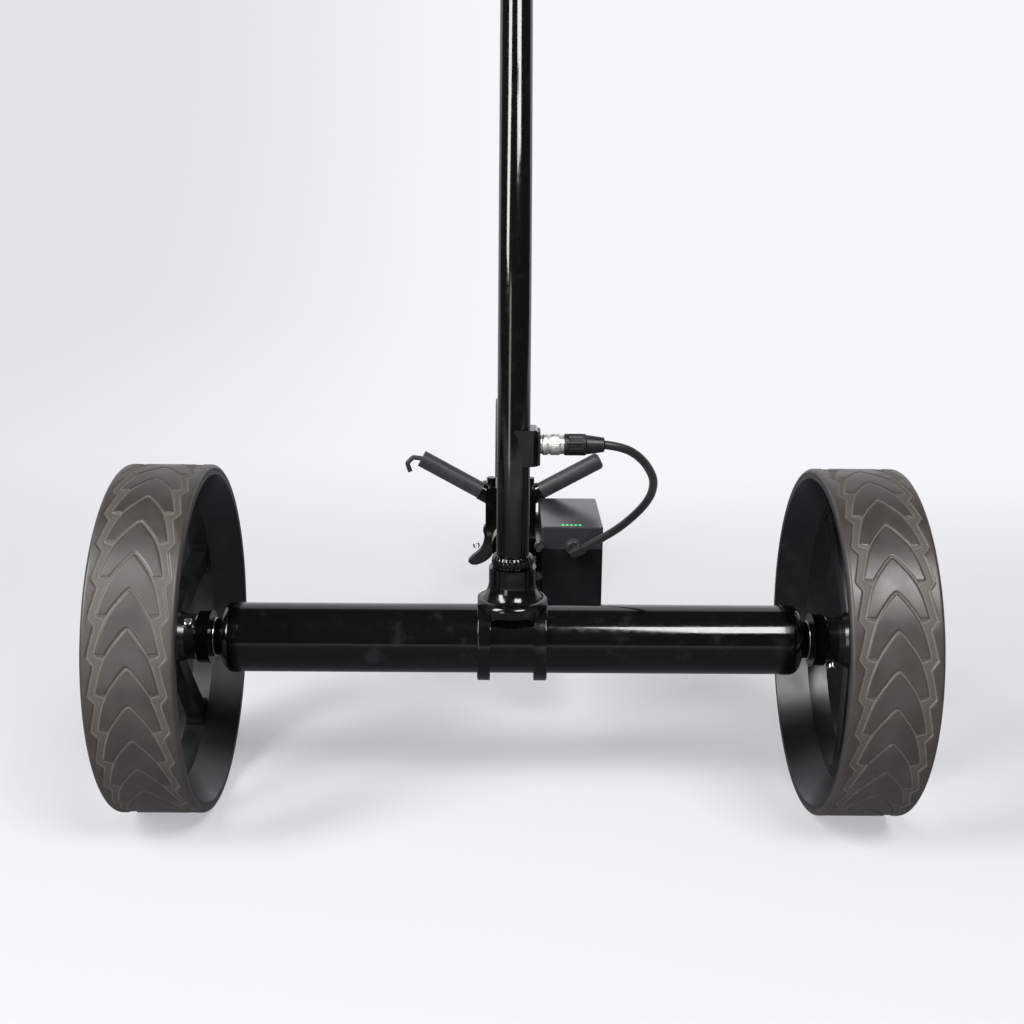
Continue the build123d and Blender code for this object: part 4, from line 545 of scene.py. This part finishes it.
def front_tyre_surface(cuts=42, rows=20, half=17.5, radius=125.0, seat=101.0, wall=116.0):
    """Front tyre as a closed grid: a crown that is an arc of a circle through both wall tops, cut by two
    grooves round it and by slanted slots in each shoulder, all in millimetres.

    A slot follows the angle times the radius plus 0.55 of the distance from the middle. The radius drops
    by a smooth step where the distance to a cut is small."""
    groove, slant, no_cut = 5.4, 0.55, 9.0
    # a cut's depth, the half width of its flat foot and the width of its flank; and its stop short of a wall
    depth, flat, flank, stop = 1.3, 0.3, 0.8, 0.4
    bend = (half**2 + (radius - wall) ** 2) / (2 * (radius - wall))
    u = np.linspace(-half, half, 57)
    crown = radius - bend + np.sqrt(bend**2 - u**2)
    section = np.concatenate([[(-half, seat)], np.stack([u, crown], axis=1), [(half, seat)]])
    angle = np.arange(cuts * rows) * 2 * math.pi / (cuts * rows)
    pitch = 2 * math.pi * radius / cuts
    x = section[None, :, 0]
    down = (angle * radius)[:, None] + slant * np.abs(x)
    slot = np.abs((down + pitch / 2) % pitch - pitch / 2)
    slot = np.where(np.abs(x) > groove, slot, no_cut)
    spacing = np.minimum(np.abs(np.abs(x) - groove), slot)
    on_crown = np.abs(x) < half - stop
    spacing = np.where(on_crown, spacing, no_cut)
    drop = np.clip(1 - (spacing - flat) / flank, 0, 1)
    rr = section[None, :, 1] - drop * drop * (3 - 2 * drop) * depth
    turn = angle[:, None]
    points = np.stack([x + 0 * turn, -rr * np.cos(turn), rr * np.sin(turn)], axis=-1) * MM + FRONT
    return points, grid_quads(len(angle), len(section), True, True), spacing.reshape(-1)


def tread_piece(name, surface, body, material, flip=False):
    """Piece of a tyre surface that keeps each point's groove distance for the rubber to read."""
    points, quads, spacing = surface
    piece = new_piece(name, points, quads, body, material, flip=flip)
    mark = piece.data.attributes.new("groove_mm", "FLOAT", "POINT")
    mark.data.foreach_set("value", spacing.astype(np.float32))
    return piece


# -------------------------------------------------------------------------- operators
class TROLLEY_OT_finishes(bpy.types.Operator):
    """Gives every frame piece the finish of the real one"""

    bl_idname = "trolley.finishes"
    bl_label = "Frame finishes"

    def execute(self, context):
        colours = context.scene.trolley_finishes
        tube = powder_coat("powder_coated_aluminium", colours.gloss_black)
        cast = powder_coat("painted_casting", colours.gloss_black, wave=9.0, depth=0.06, roughness=0.12)
        cap = powder_coat("gloss_moulded_nylon", "030303", wave=12.0, depth=0.01, roughness=0.13)
        nylon = moulded("moulded_nylon", colours.matte_black, 0.42)
        rim = moulded("moulded_rim_nylon", colours.rim_black, 0.34, grain=0.9, light="38383A", scuff=0.12)
        spoke = moulded("moulded_spoke_nylon", colours.matte_black, 0.22, grain=0.9, light="3A3A3C")
        sleeve = rubber("moulded_grey_rubber", colours.grey_rubber, "3C3D40", 0.5)
        case = moulded("moulded_abs_case", colours.battery, 0.36, grain=0.8, depth=0.03, light="2A2B2D")
        # painted sheen: the lid's paler grey and its strong pale clouds stand in for the shine of its top
        # face
        lid = moulded(
            "moulded_abs_lid_painted_sheen", colours.battery_lid, 0.2, grain=0.8, depth=0.02, light="404145", scuff=0.35
        )
        steel = plated("turned_steel", "9A9A98", 0.28)
        jacket = rubber("cable_jacket", colours.cable, "2A2A2C", 0.45, grain=0.6, depth=0.02)
        wrap = moulded("shrink_wrap", "2C5A78", 0.25, grain=3.0, depth=0.02)
        light = lit_green("green_lens", colours.light)
        finishes = {
            tube: "axle_tube upright_tube lower_tube upper_tube handle_bar upper_rest_yoke front_fork",
            cast: "axle_bracket upright_collar bag_rest_saddle fold_bracket fold_knuckle battery_tray",
            cap: "socket_housing left_end_cap right_end_cap left_hub_collar right_hub_collar"
            " left_output_shaft right_output_shaft",
            nylon: "panel_socket plug_boot rest_clamp_lever fold_clamp_lever console_body"
            " console_cover speed_dial motor_controller",
            rim: "left_rim right_rim front_rim",
            spoke: "left_spokes right_spokes",
            sleeve: "left_rest_sleeve right_rest_sleeve upper_rest_pads left_grip right_grip strap_hook"
            " left_tyre right_tyre front_tyre",
            jacket: "battery_cable battery_gland",
            steel: "output_bearings front_bearings front_axle frame_screws left_motor_housing"
            " right_motor_housing power_button left_armature right_armature cable_plug"
            " left_release_pin right_release_pin",
            case: "battery_case",
            lid: "battery_lid",
            wrap: "battery_cells",
            light: "battery_lights",
        }
        for material, names in finishes.items():
            for name in names.split():
                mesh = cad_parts[name].data
                mesh.materials.clear()
                mesh.materials.append(material)
        return {"FINISHED"}


class TROLLEY_OT_tyres(bpy.types.Operator):
    """Makes the two drive tyres with their chevron tread, and the front tyre"""

    bl_idname = "trolley.tyres"
    bl_label = "Tyres"

    def execute(self, context):
        sizes = context.scene.trolley_tyres
        colours = context.scene.trolley_finishes
        material = tread_rubber("moulded_tyre_rubber", colours.tyre, colours.tyre_line)
        for name, side in SIDES:
            phase = math.radians(-0.5 if side < 0 else -0.1)
            surface = tyre_surface(side, sizes, phase=phase)
            piece = tread_piece(name + "_tread", surface, name + "_wheel", material, flip=side < 0)
            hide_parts(name + "_tyre")
        piece = tread_piece("front_tread", front_tyre_surface(), "front_wheel", material)
        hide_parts("front_tyre")
        return {"FINISHED"}


class TROLLEY_OT_plug(bpy.types.Operator):
    """Makes the knurled plug shell and its panelled sleeve"""

    bl_idname = "trolley.plug"
    bl_label = "Battery plug"

    def execute(self, context):
        nickel = plated("nickel_plated_brass", "F4F2EC", 0.42)
        black = moulded("moulded_plug_sleeve", context.scene.trolley_finishes.matte_black, 0.4)

        def knurl(along, turn):
            """Axial knurl of 36 ridges on the coupling ring."""
            return -0.3 * window(along, 31.6, 38.0, 0.4) * (0.5 + 0.5 * np.cos(36 * turn))

        shell = [(22.3, 0), (22.3, 8.0), (24.2, 8.0), (24.6, 9.0), (28.6, 9.0), (29.0, 8.1), (30.6, 8.1)]
        shell += [(31.0, 9.0), (38.6, 9.0), (39.0, 8.1), (42.5, 8.1), (42.5, 0)]
        points, quads = turned(dense(shell, 0.6), PLUG, 144, relief=knurl)
        piece = new_piece("plug_shell", points, quads, "frame", nickel, merge=1e-6)
        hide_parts("cable_plug")

        def panels(along, turn):
            """Eight sunk finger panels on the wide part."""
            sunk = np.clip((np.cos(8 * turn) + 0.35) / 0.3, 0, 1)
            return -0.9 * window(along, 46.0, 58.5, 0.8) * sunk

        sleeve = [(42.5, 0), (42.5, 8.6), (43.3, 9.2), (60.2, 9.2), (61.2, 8.3), (68.0, 7.4)]
        sleeve += [(75.9, 6.2), (76.5, 5.4), (76.5, 0)]
        points, quads = turned(dense(sleeve, 0.5), PLUG, 96, relief=panels)
        piece = new_piece("plug_sleeve", points, quads, "frame", black, merge=1e-6)
        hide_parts("plug_boot")
        return {"FINISHED"}


class TROLLEY_OT_hubs(bpy.types.Operator):
    """Makes the bright seal rings, the fluted outer hub caps and the ring on the rest's clamp lever"""

    bl_idname = "trolley.hubs"
    bl_label = "Hub fittings"

    def execute(self, context):
        steel = plated("polished_steel_ring", "C9C8C4", 0.18)
        # ring on the lever: its own radius and its wire's, in millimetres, and the mesh steps round each
        reach, wire, steps, wire_steps = 2.7, 0.8, 48, 12
        around = np.linspace(0, 2 * math.pi, steps, endpoint=False)[:, None]
        tube = np.linspace(0, 2 * math.pi, wire_steps, endpoint=False)[None]
        out, level = reach + wire * np.cos(tube), wire * np.sin(tube) + 0 * around
        loop = np.stack([out * np.cos(around), level, out * np.sin(around)], axis=-1) * MM + LEVER_RING
        quads = grid_quads(steps, wire_steps, True, True)
        new_piece("lever_ring", loop, quads, "rest_lever", steel, merge=1e-7)
        nickel = plated("polished_pin_head", "D9D8D2", 0.2)
        black = moulded("moulded_hub_cap", context.scene.trolley_finishes.matte_black, 0.35)

        def flutes(along, turn):
            """Twelve shallow finger flutes in the cap's wall."""
            return -0.8 * window(along, 318.0, 325.5, 1.0) * np.clip(np.cos(12 * turn), 0, 1) ** 2

        cap = [(314.0, 0), (314.0, 21.5), (325.0, 21.0), (326.6, 20.2), (327.4, 18.4), (327.0, 15.5)]
        cap += [(325.8, 14.0), (325.6, 6.0), (326.6, 4.6), (327.2, 2.5), (327.3, 0)]
        ring = [(257.0, 15.0), (257.0, 16.6), (257.3, 16.9), (257.9, 16.9), (258.1, 16.6), (258.1, 15.0)]
        for name, side in SIDES:
            mirror = np.array([side, 1, 1])
            points, quads = turned(dense(cap, 0.9), AXLE, 120, relief=flutes)
            wheel = name + "_wheel"
            new_piece(name + "_hub_cap", points * mirror, quads, wheel, black, merge=1e-6)
            points, quads = turned(dense(ring + ring[:1], 0.5), AXLE, 96)
            new_piece(name + "_seal_ring", points * mirror, quads, wheel, steel, merge=1e-6)
            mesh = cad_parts[name + "_release_pin"].data
            mesh.materials.clear()
            mesh.materials.append(nickel)
        return {"FINISHED"}


class TROLLEY_OT_collar(bpy.types.Operator):
    """Makes the scalloped ring collar where the upright enters the axle bracket"""

    bl_idname = "trolley.collar"
    bl_label = "Upright collar"

    def execute(self, context):
        gloss = powder_coat("gloss_moulded_ring", "040404", wave=4.0, depth=0.03, roughness=0.08)
        outer = [(0.0, 14.1), (0.0, 16.6), (0.5, 17.1), (2.0, 17.5), (5.0, 17.7), (8.0, 17.3), (10.2, 16.2)]
        outer += [(11.3, 15.0), (11.5, 14.1), (0.0, 14.1)]

        def scallops(along, turn):
            """Twenty-two slanting beads round the middle of the ring, nought at its two ends."""
            middle = np.sin(np.pi * np.clip(along / 11.5, 0, 1)) ** 0.7
            return 0.75 * middle * (np.abs(np.cos(11 * turn + 0.16 * along)) ** 0.6 - 0.3)

        points, quads = turned(dense(outer, 0.4), COLLAR, 264, axis="Z", relief=scallops)
        piece = new_piece("collar_ring", points, quads, "frame", gloss, merge=1e-6)
        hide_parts("upright_collar")
        return {"FINISHED"}


class TROLLEY_OT_handle(bpy.types.Operator):
    """Makes the ribbed grips, the fluted speed dial with its scale, and the blank display"""

    bl_idname = "trolley.handle"
    bl_label = "Grips and console"

    def execute(self, context):
        colours = context.scene.trolley_finishes
        foam = rubber("moulded_grip_rubber", "1A1A1B", "333335", 0.6, grain=0.9, depth=0.06)
        black = moulded("moulded_dial_nylon", colours.matte_black, 0.36)
        ink = print_white("white_print")

        def ribs(along, turn):
            """Rings every 5 mm over the palm, crossed by twelve shallow channels."""
            ring = np.clip(np.cos((along - 60.0) * 2 * math.pi / 5.0) * 1.6 - 0.4, 0, 1)
            channel = np.clip(np.cos(12 * turn) * 3 - 2, 0, 1)
            return -window(along, 57.0, 139.0, 1.5) * (0.7 * ring + 0.6 * channel * (1 - ring))

        grip = [(47.0, 0), (47.0, 14.8), (48.4, 15.9), (53.0, 15.9), (54.0, 15.0), (55.0, 15.6)]
        grip += [(141.0, 15.6), (142.0, 15.9), (147.0, 15.9), (149.2, 15.0), (150.0, 13.0), (150.0, 0)]
        for name, side in SIDES:
            points, quads = turned(dense(grip, 0.7), BAR, 96, relief=ribs)
            points = points * np.array([side, 1, 1])
            part = name + "_hand_grip"
            piece = new_piece(part, points, quads, "handle", foam, merge=1e-6)
            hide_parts(name + "_grip")

        def dial_flutes(along, turn):
            """Thirty finger flutes round the dial's wall."""
            return -0.7 * window(along, 1.2, 12.6, 0.8) * (0.5 + 0.5 * np.cos(30 * turn)) ** 2

        dial = [(0.0, 0), (0.0, 19.6), (0.6, 20.0), (12.0, 19.4), (13.6, 18.6), (14.4, 17.0), (14.6, 14.5)]
        dial += [(13.9, 12.6), (13.4, 10.0), (13.4, 0)]
        points, quads = turned(dense(dial, 0.6), DIAL, 180, "Z", dial_flutes)
        piece = new_piece("dial_knob", points, quads, "dial", black, merge=1e-6)
        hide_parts("speed_dial")
        # printed bar on the dial's top, pointing forwards
        points, quads = plate(DIAL + np.array([0, 0.0115, 0.0143]), 0.7, 4.6, 0.5)
        new_piece("dial_pointer", points, quads, "dial", ink, smooth=False, merge=1e-7)

        # nine ticks on a half circle round the golfer's side of the dial
        ticks, faces, scale_radius = [], [], 0.0243
        for degrees in np.linspace(180, 360, 9):
            a = math.radians(degrees)
            centre = COVER + np.array([math.cos(a), math.sin(a), 0]) * scale_radius
            points, quads = plate(centre, 1.6, 0.4, 0.15, turn=a, steps=16)
            faces.append(quads + len(ticks) * points.size // 3)
            ticks.append(points.reshape(-1, 3))
        points, quads = np.concatenate(ticks), np.concatenate(faces)
        new_piece("dial_scale", points, quads, "handle", ink, smooth=False, merge=1e-7)
        # blank display over the bar, on the golfer's side of the dial
        glass = window_glass("smoked_acrylic")
        points, quads = plate(COVER + np.array([0, -0.0585, 0]), 27.0, 9.5, 0.7, power=10.0, steps=96)
        new_piece(
            "display_window", points, quads, "handle", glass, smooth=False, merge=1e-7
        )
        return {"FINISHED"}


class TROLLEY_OT_cable(bpy.types.Operator):
    """Lays the battery cable from the plug to the gland"""

    bl_idname = "trolley.cable"
    bl_label = "Battery cable"

    def execute(self, context):
        colours = context.scene.trolley_finishes
        curve = bpy.data.curves.new("cable", "CURVE")
        curve.dimensions = "3D"
        curve.bevel_depth = CABLE_RADIUS
        curve.bevel_resolution = 8
        curve.resolution_u = 16
        curve.use_fill_caps = True
        spline = curve.splines.new("NURBS")
        spline.points.add(len(CABLE) - 1)
        for point, place in zip(spline.points, CABLE):
            point.co = (*place, 1.0)
        spline.order_u = 3
        spline.use_endpoint_u = True
        jacket = rubber("cable_jacket_rubber", colours.cable, "2A2A2C", 0.42, grain=0.6, depth=0.02)
        curve.materials.append(jacket)
        piece = bpy.data.objects.new("battery_lead", curve)
        bpy.context.scene.collection.objects.link(piece)
        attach(piece, "frame")
        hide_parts("battery_cable")
        return {"FINISHED"}


class TROLLEY_OT_stage(bpy.types.Operator):
    """Sets the studio: floor, lamps and camera"""

    bl_idname = "trolley.stage"
    bl_label = "Studio"

    def execute(self, context):
        colours = context.scene.trolley_finishes
        scene = context.scene
        scene.view_settings.view_transform = "Standard"
        # sweep: level to 3 m behind the object, then a quarter round of 1.5 m radius up to a wall
        near_end, level_end, bend, top, half_width = -6.0, 3.0, 1.5, 6.0, 8.0
        turn = np.linspace(0, math.pi / 2, 25)
        line = [(near_end, 0.0), (0.0, 0.0), (level_end, 0.0)]
        line += [(level_end + bend * math.sin(a), bend - bend * math.cos(a)) for a in turn[1:]]
        line += [(level_end + bend, top)]
        line = np.array(line)
        across = np.linspace(-half_width, half_width, 3)
        points = np.stack(
            [
                np.repeat(across[None], len(line), 0),
                np.repeat(line[:, :1], 3, 1),
                np.repeat(line[:, 1:], 3, 1),
            ],
            axis=-1,
        )
        mesh = bpy.data.meshes.new("studio_sweep")
        mesh.from_pydata(points.reshape(-1, 3).tolist(), [], grid_quads(len(line), 3).tolist())
        mesh.polygons.foreach_set("use_smooth", [True] * len(mesh.polygons))
        mesh.materials.append(backdrop_paper(colours))
        sweep = bpy.data.objects.new("studio_sweep", mesh)
        scene.collection.objects.link(sweep)

        world = bpy.data.worlds.new("studio_air")
        scene.world = world
        world.use_nodes = True
        # dim room all round, white only to the eye
        tree = world.node_tree
        tree.nodes.clear()
        seen = put(tree, "LightPath", out="Is Camera Ray")
        room = put(tree, "Background", Color="E8E8EE", Strength=0.10)
        white = put(tree, "Background", Color=colours.backdrop, Strength=1.0)
        put(tree, "OutputWorld", Surface=put(tree, "MixShader", seen, room, white))

        def soft_box(name, azimuth, elevation, distance, width, height, power, mirrored=True):
            """Rectangular soft box facing the axle from an azimuth right of the rear and an elevation, in
            degrees; a box that isn't mirrored gives light but shows in no reflection."""
            light = bpy.data.lights.new(name, "AREA")
            light.shape = "RECTANGLE"
            light.size, light.size_y = width, height
            light.energy = power
            item = bpy.data.objects.new(name, light)
            item.visible_glossy = mirrored
            a, e = math.radians(azimuth), math.radians(elevation)
            reach = Vector((math.sin(a) * math.cos(e), -math.cos(a) * math.cos(e), math.sin(e)))
            item.location = Vector(AXLE) + reach * distance
            item.rotation_mode = "QUATERNION"
            item.rotation_quaternion = (-reach).to_track_quat("-Z", "Y")
            scene.collection.objects.link(item)

        soft_box("left_box", -55, 40, 3.5, 0.96, 2.3, 128)
        soft_box("right_box", 28, 50, 3.5, 1.3, 1.15, 92)
        soft_box("front_card", -16, 16, 3.5, 2.4, 1.5, 62, mirrored=False)
        soft_box("left_strip", -31, 10, 3.0, 0.6, 1.5, 12)

        view = bpy.data.cameras.new("camera")
        view.lens = 47.5
        view.sensor_width = 36.0
        view.clip_end = 50.0
        camera = bpy.data.objects.new("camera", view)
        # it stands behind the trolley and looks slightly right and down, in degrees, with a slight roll
        place = Matrix.Translation((-0.0116, -1.3458, 0.5628))
        right, down, roll = 0.55, 15.04, 0.53
        camera.matrix_world = (
            place
            @ Matrix.Rotation(math.radians(-right), 4, "Z")
            @ Matrix.Rotation(math.radians(90 - down), 4, "X")
            @ Matrix.Rotation(math.radians(roll), 4, "Z")
        )
        scene.collection.objects.link(camera)
        scene.camera = camera
        return {"FINISHED"}


class TROLLEY_PT_panel(bpy.types.Panel):
    """Lists the steps that dress the trolley"""

    bl_label = "Golf trolley"
    bl_idname = "TROLLEY_PT_panel"
    bl_space_type = "VIEW_3D"
    bl_region_type = "UI"
    bl_category = "Trolley"

    def draw(self, context):
        for step in STEPS:
            self.layout.operator(step.bl_idname)
        for group in (context.scene.trolley_tyres, context.scene.trolley_finishes):
            for name in group.bl_rna.properties.keys():
                if name not in ("rna_type", "name"):
                    self.layout.prop(group, name)


GROUPS = (TrolleyTyreSizes, TrolleyFinishes)
STEPS = (
    TROLLEY_OT_finishes,
    TROLLEY_OT_tyres,
    TROLLEY_OT_hubs,
    TROLLEY_OT_plug,
    TROLLEY_OT_collar,
    TROLLEY_OT_handle,
    TROLLEY_OT_cable,
    TROLLEY_OT_stage,
)


def register():
    """Adds the groups of sizes and colours, the steps and their panel."""
    for item in GROUPS + STEPS + (TROLLEY_PT_panel,):
        bpy.utils.register_class(item)
    bpy.types.Scene.trolley_tyres = PointerProperty(type=TrolleyTyreSizes)
    bpy.types.Scene.trolley_finishes = PointerProperty(type=TrolleyFinishes)


def unregister():
    """Takes them away again, last first."""
    del bpy.types.Scene.trolley_finishes
    del bpy.types.Scene.trolley_tyres
    for item in reversed(GROUPS + STEPS + (TROLLEY_PT_panel,)):
        bpy.utils.unregister_class(item)


def main():
    """Dresses the trolley step by step."""
    register()
    for step in STEPS:
        group, name = step.bl_idname.split(".")
        getattr(getattr(bpy.ops, group), name)()


if __name__ == "__main__":
    main()
